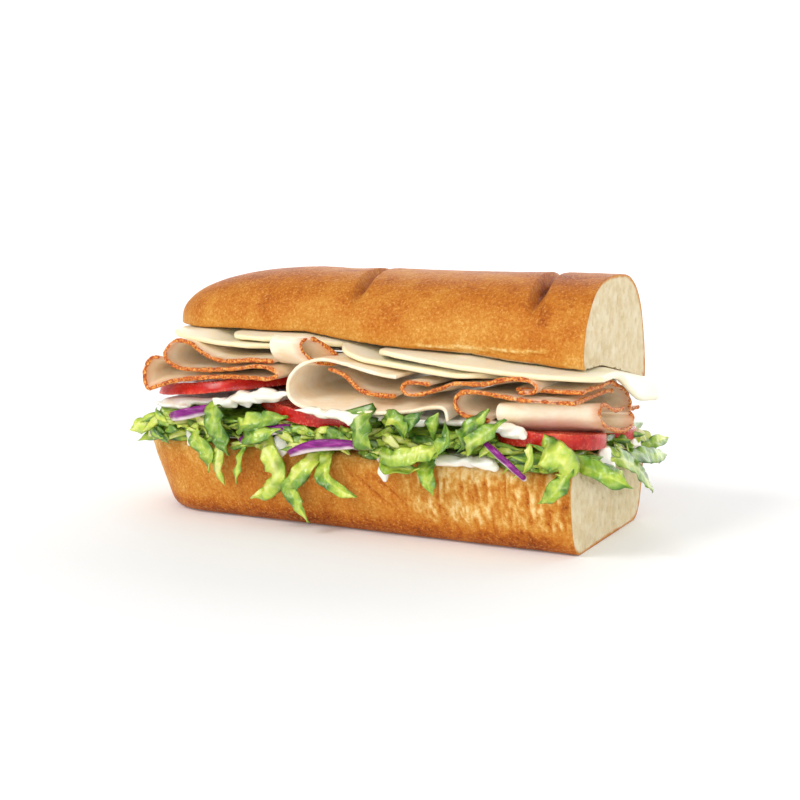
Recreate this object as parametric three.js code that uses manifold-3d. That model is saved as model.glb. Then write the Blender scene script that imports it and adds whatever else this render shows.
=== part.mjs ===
// Submarine sandwich, cut square at one end: a split loaf with cheese, folded slices of turkey,
// tomato, red onion, mayonnaise and shredded lettuce between its halves.
// Millimetres, +Z up. X runs along the loaf from its rounded end to its cut end (+X),
// the filling shows most at -Y, and the loaf stands on z = 0.
import * as THREE from 'three';
import Module from 'manifold-3d';

const wasm = await Module();
wasm.setup();

// Loaf
const LOAF_LENGTH = 152;
const CUT_X = LOAF_LENGTH / 2;
const ROUND_X = CUT_X - LOAF_LENGTH;
const BASE_HALF_WIDTH = 28.5;
const WALL_LEAN = 0.17; // how far the lower half's wall leans out for each mm of height
const BASE_ROUNDING = 5;
const LOWER_TOP = 24;
const LOWER_RISE = 2; // how much higher its cut surface is at the back
const LOWER_ROUND_LENGTH = 31;
const END_LEAN = 8.5; // how far the rounded end leans out from its base to its top edge
const RIDGE = 74.5;
const UPPER_MIDDLE_Y = 4;
const UPPER_HALF_WIDTH = 27.5;
const UPPER_DROP = 8; // how much lower the upper half's underside is at the back
const UPPER_ROUND_X = -67;
const UPPER_ROUND_LENGTH = 50;
const UPPER_ROUND_PLAN = 29;
const LEVEL_TO_Y = -8; // the filling lies level as far back as this
const BACK_Y = 33;
// Height of the upper half's underside along its front edge
const UNDERSIDE = [[-80, 57], [-10, 57], [2, 55.3], [15, 54], [31, 53.4], [42, 53], [54, 51.6], [80, 50]];
// Scores across the crust: place, half width, depth
const SCORES = [[2, 4.6, 5.5], [57, 4.6, 6]];
const SCORE_SLANT = 3;

// Filling
const TURKEY_THICKNESS = 1.3;
const CHEESE_THICKNESS = 2;
const LETTUCE_THICKNESS = 0.9;
const TURKEY_FRONT = -35.5;
const TURKEY_BACK = 32;
const MOUTH_DEPTH = 16; // how far in a fold's open mouth has closed
const CLEARANCE = 0.5; // free space kept between pieces
const SMALLEST_DETAIL = 0.22; // smaller facets are left out of a finished piece
const SOFT_DETAIL = 0.3; // the same for the sauce and the heap of shreds

const COLOURS = {
  crust: 0xc9853a,
  cheese: 0xf3e8c4,
  turkey: 0xe6c3a0,
  tomato: 0xb92a1e,
  onion: 0x8d2f7c,
  mayonnaise: 0xf5f0e4,
  lettuce: 0x9cbc4b,
};

const mix = THREE.MathUtils.lerp;
const clamp = THREE.MathUtils.clamp;
function ramp(from, to, value) {
  const share = clamp((value - from) / (to - from), 0, 1);
  return share * share * (3 - 2 * share);
}
const point = (x, y, z) => new THREE.Vector3(x, y, z);

// Smooth curve through points of two or three numbers, read from 0 to 1
function curveThrough(points) {
  const corners = points.map(([a, b, c = 0]) => point(a, b, c));
  const curve = new THREE.CatmullRomCurve3(corners, false, 'centripetal');
  curve.arcLengthDivisions = 400;
  return (t) => curve.getPointAt(clamp(t, 0, 1));
}

// Height read from stations of [place, height], straight between them
function heightAlong(stations) {
  return (x) => {
    const next = stations.findIndex(([place]) => place > x);
    if (next === 0) return stations[0][1];
    if (next < 0) return stations[stations.length - 1][1];
    const [x0, z0] = stations[next - 1];
    const [x1, z1] = stations[next];
    return mix(z0, z1, (x - x0) / (x1 - x0));
  };
}

const underside = heightAlong(UNDERSIDE);

// The filling is drawn as it stacks at the front. Towards the back the loaf's halves close on it,
// so every height between them is drawn together there.
const depthShare = (y) => clamp((y - LEVEL_TO_Y) / (BACK_Y - LEVEL_TO_Y), 0, 1.1);

function settle(x, y, z) {
  const depth = depthShare(y);
  const low = LOWER_TOP + LOWER_RISE * depth;
  const high = underside(x) - UPPER_DROP * depth;
  return point(x, y, mix(low, high, (z - LOWER_TOP) / (underside(x) - LOWER_TOP)));
}

// Pseudo-random numbers from a seed, the same on every run
function randomFrom(seed) {
  let state = seed;
  return (low, high) => {
    state = (state * 16807) % 2147483647;
    return low + (high - low) * (state / 2147483647);
  };
}

// Solid from corner points and triangles, turned so that its faces point out
function solidFrom(points, triangles) {
  let volume = 0;
  for (const [a, b, c] of triangles) {
    volume += points[a].dot(point(0, 0, 0).crossVectors(points[b], points[c]));
  }
  const outward = volume > 0 ? triangles : triangles.map(([a, b, c]) => [a, c, b]);
  return new wasm.Manifold(new wasm.Mesh({
    numProp: 3,
    vertProperties: Float32Array.from(points.flatMap((p) => p.toArray())),
    triVerts: Uint32Array.from(outward.flat()),
  }));
}

// Solid through rings of points, with a fan of triangles over each end
function loft(rings) {
  const count = rings[0].length;
  const points = rings.flat();
  const triangles = [];
  for (let r = 0; r + 1 < rings.length; r += 1) {
    for (let i = 0; i < count; i += 1) {
      const a = r * count + i;
      const b = r * count + ((i + 1) % count);
      triangles.push([a, b, b + count], [a, b + count, a + count]);
    }
  }
  const ends = [0, rings.length - 1];
  for (const r of ends) {
    const middle = rings[r].reduce((sum, p) => sum.add(p), point(0, 0, 0)).divideScalar(count);
    points.push(middle);
    for (let i = 0; i < count; i += 1) {
      const a = r * count + i;
      const b = r * count + ((i + 1) % count);
      triangles.push(r === 0 ? [points.length - 1, b, a] : [points.length - 1, a, b]);
    }
  }
  return solidFrom(points, triangles);
}

// Thin solid on both sides of the surface at(u, v), both faces split into triangles alike.
// A gap makes it larger all round by that much, as room for what is cut to fit it.
function sheet(at, thickness, stepsU, stepsV, gap = 0) {
  const step = 0.004;
  const half = thickness / 2 + gap;
  const faces = [[], []];
  for (let i = 0; i <= stepsU; i += 1) {
    for (let j = 0; j <= stepsV; j += 1) {
      const u = i / stepsU;
      const v = j / stepsV;
      const alongU = at(Math.min(u + step, 1), v).sub(at(Math.max(u - step, 0), v)).normalize();
      const alongV = at(u, Math.min(v + step, 1)).sub(at(u, Math.max(v - step, 0))).normalize();
      const out = point(0, 0, 0).crossVectors(alongU, alongV).normalize();
      const middle = at(u, v);
      if (i === 0 || i === stepsU) middle.addScaledVector(alongU, i === 0 ? -gap : gap);
      if (j === 0 || j === stepsV) middle.addScaledVector(alongV, j === 0 ? -gap : gap);
      faces[0].push(middle.clone().addScaledVector(out, half));
      faces[1].push(middle.clone().addScaledVector(out, -half));
    }
  }
  const row = stepsV + 1;
  const other = faces[0].length;
  const triangles = [];
  for (let i = 0; i < stepsU; i += 1) {
    for (let j = 0; j < stepsV; j += 1) {
      const a = i * row + j;
      triangles.push([a, a + row, a + row + 1], [a, a + row + 1, a + 1]);
      triangles.push([other + a, other + a + row + 1, other + a + row]);
      triangles.push([other + a, other + a + 1, other + a + row + 1]);
    }
  }
  const rim = [];
  for (let i = 0; i < stepsU; i += 1) rim.push(i * row);
  for (let j = 0; j < stepsV; j += 1) rim.push(stepsU * row + j);
  for (let i = stepsU; i > 0; i -= 1) rim.push(i * row + stepsV);
  for (let j = stepsV; j > 0; j -= 1) rim.push(j);
  rim.forEach((a, k) => {
    const b = rim[(k + 1) % rim.length];
    triangles.push([a, other + a, other + b], [a, other + b, b]);
  });
  return solidFrom(faces.flat(), triangles);
}

// Round blob with three radii, some way up the stack
function blob([x, y, z], [rx, ry, rz], gap = 0) {
  const rings = 3;
  const sides = 8;
  const list = [];
  for (let r = 0; r < rings; r += 1) {
    const rise = Math.PI * ((r + 0.4) / (rings - 0.2) - 0.5);
    const ring = [];
    for (let s = 0; s < sides; s += 1) {
      const turn = (2 * Math.PI * s) / sides;
      ring.push(point(
        x + (rx + gap) * Math.cos(rise) * Math.cos(turn),
        y + (ry + gap) * Math.cos(rise) * Math.sin(turn),
        z + (rz + gap) * Math.sin(rise),
      ));
    }
    list.push(ring);
  }
  return loft(list);
}

// Bread

// Share of the full width left where the loaf rounds off, 1 before that and 0 at its end
function rounding(x, from, length, power) {
  const run = clamp((from - x) / length, 0, 1);
  return (1 - run ** power) ** (1 / power);
}

function lowerBread(gap = 0) {
  const rings = [];
  const stops = 22;
  for (let k = 0; k <= stops; k += 1) {
    // Stations gather towards the rounded end
    const x = mix(CUT_X, ROUND_X, Math.sin((k / stops) * (Math.PI / 2)) * 0.9985);
    const width = Math.max(rounding(x, ROUND_X + LOWER_ROUND_LENGTH, LOWER_ROUND_LENGTH, 2.1), 0.04);
    const endness = ramp(ROUND_X + LOWER_ROUND_LENGTH + 6, ROUND_X, x);
    const outward = k === 0 ? gap : -gap * endness;
    const half = BASE_HALF_WIDTH * width + gap;
    const corner = BASE_ROUNDING * width;
    const ring = [];
    const add = (y, z) => {
      const height = clamp(z / LOWER_TOP, 0, 1);
      const back = END_LEAN * (1 - 0.3 * height - 0.7 * height ** 2);
      const lean = WALL_LEAN * z * width * Math.sign(y);
      ring.push(point(x + endness * back + outward, y + lean, z));
    };
    const wall = (side) => [
      [side * (half - corner), -gap],
      [side * (half - corner * 0.35), corner * 0.25 - gap],
      [side * half, corner],
      [side * (half + 0.9 * width), LOWER_TOP * 0.5],
      [side * (half + 0.3 * width), LOWER_TOP - 4],
      [side * (half - 1.2 * width), LOWER_TOP - 0.6 + gap],
    ];
    add(0, -gap);
    for (const [y, z] of wall(-1)) add(y, z);
    for (const share of [-0.86, -0.4, 0, 0.4, 0.86]) {
      const y = share * half;
      ring.push(point(x + outward, y, LOWER_TOP + LOWER_RISE * depthShare(y) + gap));
    }
    for (const [y, z] of wall(1).reverse()) add(y, z > LOWER_TOP - 2 ? z + LOWER_RISE * 0.7 : z);
    rings.push(ring);
  }
  return loft(rings);
}

// How deep the crust is scored at a place along the loaf, up to 1 at the middle of a score
function scoreDepth(x, round) {
  let depth = 0;
  for (const [place, halfWidth, deep] of SCORES) {
    const away = Math.abs(x - place - SCORE_SLANT * Math.cos(round)) / halfWidth;
    depth = Math.max(depth, deep * clamp(1 - away, 0, 1));
  }
  return depth * ramp(0.3, 0.95, Math.sin(round));
}

function upperBread(gap = 0) {
  const stations = new Set();
  for (let x = CUT_X; x > -20; x -= 9) stations.add(x);
  for (const [place, halfWidth] of SCORES) {
    for (const share of [-1.4, -0.9, -0.45, -0.15, 0.15, 0.45, 0.9, 1.4]) {
      stations.add(place + share * halfWidth);
    }
  }
  const left = UPPER_ROUND_X;
  for (let k = 0; k <= 11; k += 1) stations.add(mix(-24, left, Math.sin((k / 11) * Math.PI / 2)));
  const places = [...stations].filter((x) => x <= CUT_X).sort((a, b) => b - a);
  const spaced = places.filter((x, k) => k === 0 || places[k - 1] - x > 0.6);
  const rings = [];
  spaced.forEach((x, k) => {
    const plan = Math.max(rounding(x, left + UPPER_ROUND_PLAN, UPPER_ROUND_PLAN + 0.2, 2), 0.03);
    const rise = Math.max(rounding(x, left + UPPER_ROUND_LENGTH, UPPER_ROUND_LENGTH + 0.2, 2.3), 0.03);
    const half = UPPER_HALF_WIDTH * plan + gap;
    const shift = k === 0 ? gap : 0;
    const bottom = (y) => underside(x) - UPPER_DROP * depthShare(y) - gap;
    const ring = [];
    const sides = 18;
    for (let s = 0; s <= sides; s += 1) {
      const round = (Math.PI * s) / sides;
      const across = Math.sign(Math.cos(round)) * Math.abs(Math.cos(round)) ** (2 / 2.6);
      const y = UPPER_MIDDLE_Y - half * across;
      const up = Math.sin(round) ** (2 / (round < Math.PI / 2 ? 2.6 : 2.1));
      const edges = [bottom(UPPER_MIDDLE_Y - half), bottom(UPPER_MIDDLE_Y + half)];
      const base = mix(edges[0], edges[1], (1 - across) / 2) + 0.8 * (1 - up);
      const top = bottom(UPPER_MIDDLE_Y) + (RIDGE + gap - bottom(UPPER_MIDDLE_Y)) * rise;
      const dip = scoreDepth(x, round);
      ring.push(point(x + shift, y + dip * 0.5 * across, mix(base, top, up) - dip * up));
    }
    // The flat cut underside, from the back edge to the front edge
    for (const share of [0.9, 0.5, 0.1, -0.3, -0.6, -0.93]) {
      const y = UPPER_MIDDLE_Y + share * half;
      ring.push(point(x + shift, y, bottom(y)));
    }
    rings.push(ring);
  });
  return loft(rings);
}

// Cheese

// A slice: its left and right ends, depth under the crust, and the height of its front edge along it
function cheeseSlice({ left, right, lowered, edge, front, back = 32, hang = 0, corner = 6 }, gap = 0) {
  const edgeHeight = heightAlong(edge);
  const frontAt = heightAlong(front);
  const loweredAt = heightAlong(lowered);
  const at = (u, v) => {
    const x = mix(left, right, u);
    const fromEnd = Math.min(u, 1 - u) * (right - left);
    const cornerCut = corner * (1 - Math.min(fromEnd / corner, 1)) ** 2;
    const y = mix(frontAt(x) + cornerCut, back - cornerCut * 1.5, v ** 1.5);
    const flat = underside(x) - loweredAt(x);
    const bend = clamp((-24 - y) / 8, 0, 1) ** 1.4;
    const endBend = hang * ramp(CUT_X + 1, CUT_X + 9, x) * ramp(-16, 12, y);
    return settle(x, y, mix(flat, edgeHeight(x), bend) - endBend);
  };
  return sheet(at, CHEESE_THICKNESS, Math.round((right - left) / 7), 5, gap);
}

const CHEESE = [
  {
    left: -57,
    right: -9,
    lowered: [[-57, 1.8], [-42, 1.8], [-35, 4.5], [-9, 4.5]],
    front: [[-57, -27], [-46, -31], [-24, -33.5], [-15, -28], [-9, -27]],
    edge: [[-57, 54.6], [-48, 53.6], [-24, 52.9], [-9, 53.2]],
  },
  {
    left: -34,
    right: 3,
    lowered: [[-34, 1.8], [3, 1.8]],
    front: [[-34, -30], [-20, -31], [-10, -27.5], [3, -27]],
    edge: [[-34, 55.2], [-14, 54.8], [3, 54]],
  },
  {
    left: 2.5,
    right: 54,
    lowered: [[2.5, 1.8], [10, 3], [18, 4.5], [54, 4.5]],
    front: [[2.5, -30], [12, -32.5], [40, -33.5], [54, -31]],
    corner: 7,
    edge: [[2.5, 54.8], [8, 52.4], [14, 50.9], [29, 49.2], [43, 48], [54, 48.4]],
  },
  {
    left: 15,
    right: 82,
    lowered: [[15, 1.8], [82, 1.8]],
    front: [[15, -31], [24, -33.5], [60, -34], [82, -32]],
    back: 35,
    hang: 12,
    corner: 7,
    edge: [[15, 53.4], [22, 52.6], [34, 51.2], [44, 50.2], [67, 49], [82, 48.6]],
  },
];

// Turkey

// A slice folded to and fro. Its path gives x, the height of its front edge, and its height inside.
function foldedSlice({ path, steps, front = TURKEY_FRONT, back = TURKEY_BACK, rows = 4 }, gap = 0) {
  const outer = curveThrough(path.map(([x, edge, inner]) => [x, edge, inner]));
  const at = (u, v) => {
    const p = outer(u);
    const wander = 1.2 * Math.sin(0.16 * p.x + 2.1 * u);
    const y = mix(front + wander, back - 2 * wander, v ** 1.7);
    const inward = 1 - (1 - clamp((y - front - wander) / MOUTH_DEPTH, 0, 1)) ** 2;
    return settle(p.x, y, mix(p.y, p.z, inward));
  };
  return sheet(at, TURKEY_THICKNESS, steps, rows, gap);
}

const FOLDED_SLICES = [
  // The slice at the rounded end: a flap, a turn back, and a loop above it
  {
    steps: 27,
    front: -36.5,
    path: [
      [-52.2, 49, 47], [-55.9, 48.2, 46.4], [-58.6, 43.7, 44.8], [-57.2, 39, 43.2], [-53, 40, 43.2],
      [-47.4, 41.8, 43.4], [-38.4, 43.2, 43.8], [-29, 44, 44.2], [-20, 44.4, 44.5], [-13.4, 44.6, 44.7],
      [-11, 45.9, 45.9], [-13.2, 47.4, 47.6], [-18, 47.9, 47.9], [-24, 46.9, 47.6], [-31.4, 46, 46.6],
      [-40.4, 45.4, 45.6], [-46.9, 46, 45.9], [-50.4, 48.4, 47.4], [-50, 51.4, 50], [-46.7, 54, 52.4],
      [-42.4, 53.2, 52.4], [-38.4, 50.6, 51.3], [-33.4, 49, 49.8], [-27.4, 48.8, 49.4], [-20, 49.6, 49.6],
      [-13, 49.4, 49.6],
    ],
  },
  // The wide fold in the middle, open to the right
  {
    steps: 22,
    rows: 3,
    front: -36,
    path: [
      [27, 47.2, 47.5], [21.5, 47.6, 48.3], [15, 48.6, 49.2], [9, 49.8, 50.2], [2, 50.6, 50.8],
      [-4, 48.8, 49.2], [-7.7, 44.6, 44.8], [-7.8, 39.4, 41], [-4.5, 36.8, 39.8], [3, 36.2, 39.5],
      [12, 36.3, 39.4], [21.5, 36.8, 39.4], [31, 37.8, 39.6], [37, 39.2, 39.8], [40.4, 39, 39],
      [41.6, 35.8, 36.8],
    ],
  },
  // The slice lying in that fold
  {
    steps: 8,
    front: -34,
    path: [
      [3.5, 48, 46.6], [8, 46.4, 45], [11.2, 44.2, 43.6], [14.5, 42.4, 42.8], [19, 41.7, 42.3],
      [25, 41.4, 42.2],
    ],
  },
  // The ruffled slice right of the middle
  {
    steps: 22,
    rows: 3,
    front: -34.5,
    path: [
      [36.2, 45.5, 45.6], [32.6, 45.8, 45.8], [29.2, 45.6, 45.4], [27.9, 44, 44.4], [29.6, 42.5, 43.2],
      [33.5, 42.7, 43], [38.5, 44.4, 43.6], [42.7, 46, 44.8], [47.8, 46.2, 45.6], [52.4, 46.6, 45.9],
      [56.4, 47.9, 46.4], [60.6, 48.6, 47.2], [64.6, 48.3, 47.6], [66.9, 46.9, 46.8], [66.4, 45.3, 45.7],
      [62, 44.9, 45.2],
    ],
  },
  // The slice below it, turned down and back at its left
  {
    steps: 19,
    front: -35.5,
    back: -4,
    path: [
      [78, 43, 43], [70, 43.2, 43.2], [64, 43.2, 43.2], [58.5, 43.7, 43.3], [53, 44.2, 43.4],
      [48.6, 44.3, 43.3], [45.2, 43.8, 42.6], [43.6, 41.8, 41.2], [44, 39.4, 39.8], [46.2, 37.8, 38.8],
      [50, 37.2, 38.2], [54.5, 37, 38],
    ],
  },
];

// A slice rolled or folded about the length of the loaf. Its path gives y and height.
function rolledSlice({ path, steps, left, right, slant = 0, shift = 0, rows = 5 }, gap = 0) {
  const section = curveThrough(path);
  const at = (u, v) => {
    const p = section(u);
    const end = right + slant * (p.x - path[0][0]);
    const x = mix(left, end, v);
    return settle(x, p.x + shift * (x - right), p.y);
  };
  return sheet(at, TURKEY_THICKNESS, steps, rows, gap);
}

const ROLLED_SLICES = [
  // The flattened roll that ends below the second slice of cheese
  {
    steps: 18,
    left: -13.5,
    right: -1.8,
    slant: 0.8,
    rows: 4,
    path: [
      [-35.7, 56.5], [-36.9, 55], [-36.6, 52.8], [-34.4, 50.4], [-31.4, 48.9], [-29, 48.9], [-28.2, 50.4],
      [-30, 52.8], [-32.6, 55.2], [-34.5, 56.5],
    ],
  },
  // The roll at the cut end
  {
    steps: 24,
    left: 56,
    right: 81,
    shift: 0.5,
    rows: 4,
    path: [
      [-3, 38.4], [-8, 38], [-13, 39], [-18.5, 40.9], [-22.3, 40.7], [-23, 38.6], [-20, 36.1], [-14.4, 33.9],
      [-7.4, 32.3], [0, 31.6], [5, 32.2], [6.6, 34.6], [3.6, 36.4],
    ],
  },
  // The slice over it, folded down behind it
  {
    steps: 14,
    left: 60,
    right: 79,
    rows: 3,
    path: [
      [-31.5, 45.2], [-26, 45.4], [-20, 45.6], [-10, 45.6], [0, 44.8], [5.5, 43.2], [9.2, 40.6], [9.6, 38],
      [8, 36],
    ],
  },
  // The slice behind them, folded to the back
  {
    steps: 18,
    left: 46,
    right: 74.5,
    rows: 3,
    path: [[32, 42.6], [24, 42.8], [17.5, 42.4], [14, 40.4], [14.6, 37.8], [19, 36], [26, 35.2], [32, 35.4]],
  },
];

// Tomato

// A round slice with a rounded rim, tilted along and across the loaf. Its flare is how much wider
// its lower face is than its upper one.
function tomatoSlice({ middle, radius, thick, along = 0, across = 0, flare = 0, seed }, gap = 0) {
  const random = randomFrom(seed);
  const phases = [random(0, 6), random(0, 6)];
  const sides = 20;
  const rim = [[0.93, -0.5], [0.995, -0.25], [0.995, 0.25], [0.93, 0.5]];
  const rings = rim.map(([share, level]) => {
    const ring = [];
    for (let s = 0; s < sides; s += 1) {
      const turn = (2 * Math.PI * s) / sides;
      const wobble = 1 + 0.03 * Math.sin(2 * turn + phases[0]) + 0.015 * Math.sin(5 * turn + phases[1]);
      const reach = radius * wobble * share - flare * level + gap;
      const x = middle[0] + reach * Math.cos(turn);
      const y = middle[1] + reach * Math.sin(turn);
      const tilt = along * (x - middle[0]) + across * (y - middle[1]);
      ring.push(settle(x, y, middle[2] + tilt + level * (thick + 2 * gap)));
    }
    return ring;
  });
  return loft(rings);
}

const TOMATOES = [
  { middle: [-38.5, -9.5, 40.2], radius: 26.4, thick: 3.4, along: 0.12, flare: 1.4, seed: 11 },
  { middle: [-5, -13, 33.8], radius: 23, thick: 4, along: -0.14, seed: 23 },
  { middle: [64.6, -18, 30.7], radius: 15.6, thick: 4.1, across: -0.1, seed: 37 },
  { middle: [61, 14, 27.4], radius: 18, thick: 4, across: -0.02, seed: 41 },
];

// Red onion

// A piece of a ring: a curved strip that comes forward out of the lettuce and goes back in
function onionStrip({ from, over, to, wide = 3.4, thick = 2 }, gap = 0) {
  const path = curveThrough([from, over, to]);
  const at = (u, v) => {
    const p = path(u);
    const width = wide * (0.45 + 0.55 * Math.sin(Math.PI * clamp(u, 0.02, 0.98)) ** 0.5);
    return point(p.x, p.y + (v - 0.5) * 0.7, p.z + (0.5 - v) * width);
  };
  return sheet(at, thick, 12, 2, gap);
}

const ONIONS = [
  { from: [-52, -33, 30.2], over: [-44, -37.6, 32.2], to: [-34, -34, 34.6] },
  { from: [-25, -35.5, 25.4], over: [-18, -37.6, 28.4], to: [-8, -34.5, 30.8], wide: 3 },
  { from: [-7.5, -36.6, 23.4], over: [2, -38.6, 26.6], to: [14, -36.2, 27.6] },
  { from: [53, -36.2, 31.6], over: [59, -38.4, 28], to: [65.5, -37.4, 22.6], wide: 2.2 },
];

// Mayonnaise

// A layer between two heights, which may rise along the loaf, with lobes that show at the front
function sauceLayer({ left, right, front, back, low, high, rise = 0, lobes }, gap = 0) {
  const at = (u, v) => {
    const uneven = 0.2 * Math.sin(9 * u + 5 * v);
    return settle(mix(left, right, u), mix(front, back, v), (low + high) / 2 + rise * u + uneven);
  };
  let layer = sheet(at, high - low, 5, 2, gap);
  for (const [centre, radii] of lobes) layer = layer.add(blob(centre, radii, gap));
  return layer;
}

const SAUCES = [
  {
    left: -56, right: -14, front: -33.8, back: 26, low: 33.4, high: 35.2, rise: 3.4,
    lobes: [
      [[-52, -31.5, 34], [6, 3.4, 2]],
      [[-30, -35, 36.2], [4, 3, 2.1]],
      [[-23.5, -35.6, 38.2], [5.6, 3, 2.9]],
      [[-15.5, -35.4, 39.4], [7.4, 3, 2.9]],
    ],
  },
  {
    left: -2, right: 24, front: -34.6, back: -14, low: 34, high: 35.4,
    lobes: [
      [[0, -36.4, 36.2], [5, 2.2, 1.6]],
      [[7.5, -36.4, 35.6], [5.4, 2.4, 2]],
      [[13.5, -36.2, 34.4], [4.6, 2.4, 2.4]],
    ],
  },
  {
    left: 22, right: 56, front: -32, back: 24, low: 34.2, high: 35.6,
    lobes: [
      [[30, -33, 34.6], [7, 2.6, 1.8]],
      [[54, -34, 35.2], [5.4, 3, 2.2]],
      [[60.5, -34.2, 34.2], [5, 2.8, 2.6]],
    ],
  },
  {
    left: -50, right: 77, front: -31.6, back: 27, low: 24.5, high: 25.6,
    lobes: [
      [[-42, -33.4, 24.2], [3.2, 3.2, 3.4]],
      [[-12, -34, 25.4], [3, 3.4, 4.6]],
      [[23, -36.2, 20.6], [2, 1.8, 3.6]],
      [[23.4, -34, 24.4], [3.6, 3.4, 2.4]],
      [[42, -33.8, 24.8], [6.6, 3.4, 2.2]],
      [[52, -33.6, 25.2], [5.4, 3.4, 2.6]],
      [[78.6, -12, 25], [3, 6, 4.6]],
      [[78.6, 14, 24.6], [2.6, 6, 3]],
    ],
  },
];

// Lettuce

// A shred: a strip along its path, wide across it, with waves along both its edges
function lettuceShred({ path, wide, wave = 0.8, facing = [0, -1, 0.25], across = 2 }) {
  const along = curveThrough(path);
  const face = point(...facing).normalize();
  const steps = path.length;
  const at = (u, v) => {
    const p = along(u);
    const ahead = along(Math.min(u + 0.02, 1)).sub(along(Math.max(u - 0.02, 0))).normalize();
    const side = point(0, 0, 0).crossVectors(ahead, face).normalize();
    const taper = 0.35 + 0.65 * Math.sin(Math.PI * clamp(0.12 + 0.8 * u, 0, 1)) ** 0.6;
    const ruffle = wave * Math.sin(11 * u + (v > 0.5 ? 1.6 : 0)) * Math.abs(2 * v - 1);
    return p.addScaledVector(side, (v - 0.5) * wide * taper).addScaledVector(face, ruffle);
  };
  return sheet(at, LETTUCE_THICKNESS, steps, across);
}

// The shreds that show at the front, as x, y and height along each
const FRONT_SHREDS = [
  { wide: 6, path: [[-46, -29, 30], [-52, -33, 30.5], [-59, -35, 28], [-66, -34, 25.5]] },
  { wide: 4, across: 1, path: [[-47, -28, 28], [-56, -32, 25.6], [-64, -33, 22]] },
  { wide: 7, path: [[-32, -29, 33], [-32.5, -37, 35], [-30.5, -39, 29], [-27.5, -38, 21]] },
  { wide: 5, path: [[-43, -30, 29], [-40, -37.5, 26], [-35, -38, 21], [-35, -37.4, 15.5]] },
  { wide: 3.4, across: 1, path: [[-34, -31, 27], [-31, -38.6, 21.5], [-32.4, -37.6, 16], [-30, -37.4, 12]] },
  { wide: 3, across: 1, path: [[-25, -31, 29], [-24, -38.4, 20], [-25.4, -37.6, 13]] },
  { wide: 5, path: [[-28, -30, 27], [-23, -37.8, 30], [-15, -38, 32.5], [-8, -35, 33.4]] },
  { wide: 4.4, across: 1, path: [[-27, -30, 25.8], [-20, -39.6, 27.6], [-9, -39, 30.6]] },
  { wide: 6.4, path: [[-20, -30, 28], [-14, -39, 24], [-10.5, -39, 17.6], [-15, -38, 12], [-21, -37, 9]] },
  { wide: 5.4, path: [[2, -30, 28], [-3, -38.6, 18], [-7, -38, 13.4], [-4, -37.6, 8.6], [-1, -37, 3.6]] },
  { wide: 4, across: 1, path: [[3, -30, 27], [5, -38.4, 18], [10, -38, 14.4], [15, -37, 12.6]] },
  { wide: 6, path: [[-2, -29, 30], [4, -36, 29.4], [12, -36, 28.6]] },
  { wide: 8, path: [[16, -29, 31], [15.6, -38, 35.6], [17.6, -40, 30], [20.6, -38.6, 26.8]] },
  { wide: 5, path: [[22, -30, 31], [25, -37.8, 36], [29, -39, 35], [30, -37.6, 30]] },
  { wide: 4, across: 1, path: [[29, -30, 31], [31, -38.6, 34.6], [35.4, -37.6, 38.4]] },
  { wide: 4.4, across: 1, path: [[35, -30, 30], [38.4, -39, 34.6], [40.4, -38.4, 38.6]] },
  { wide: 5, path: [[17, -30, 26], [27, -40.6, 25.6], [37, -40.4, 28], [45, -38, 31]] },
  { wide: 5, path: [[22, -31, 27.4], [26, -38.4, 22.4], [35, -38.6, 22.6]] },
  { wide: 5, path: [[35, -30, 27], [37, -39, 21.6], [38.6, -38, 15.6]] },
  { wide: 5.4, path: [[44, -30, 29], [47, -38.4, 32.6], [51.6, -39, 37], [55, -37.6, 40.6]] },
  { wide: 4.4, across: 1, path: [[46, -30, 28], [50, -39.6, 31], [56, -39.4, 35], [60, -37.6, 38]] },
  { wide: 4, across: 1, path: [[37, -31, 29], [41, -41, 28.6], [44.6, -41, 32], [42.4, -38, 36]] },
  { wide: 2.4, across: 1, path: [[64, -31, 28], [66.6, -38, 31], [67, -37.6, 28], [64.6, -36.4, 23.6]] },
  { wide: 8, path: [[67, -29, 28], [71, -37.4, 30.6], [76, -38, 27], [75, -36.6, 23]] },
  { wide: 5, path: [[74, -29, 27], [77, -37, 24], [74, -37.4, 19.6], [69, -36.4, 16]] },
  { wide: 5, path: [[71, -27, 28], [80, -30, 25.6], [87, -30, 23], [92, -28, 20.6]] },
];
// The shreds that show at the cut end
const TO_CUT = [1, -0.4, 0.4];
const END_SHREDS = [
  { wide: 6, facing: TO_CUT, path: [[70, -12, 28], [80, -8, 25], [83, 3, 20], [83, 16, 13], [82, 23, 9]] },
  { wide: 5, facing: TO_CUT, path: [[70, -2, 27], [80, 2, 24], [84, 14, 22.6], [84, 30, 19.6]] },
  { wide: 4.6, facing: TO_CUT, path: [[70, -20, 27], [80, -22, 23.4], [82, -12, 20.6], [82, -3, 17]] },
  { wide: 4, facing: TO_CUT, path: [[70, 12, 27], [80, 15, 23], [83, 22, 24.6], [84, 31, 24.6]] },
];
// Further shreds, drawn at random along the back and round the loaf's rounded end
const BACK_SHREDS = 11;

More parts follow.
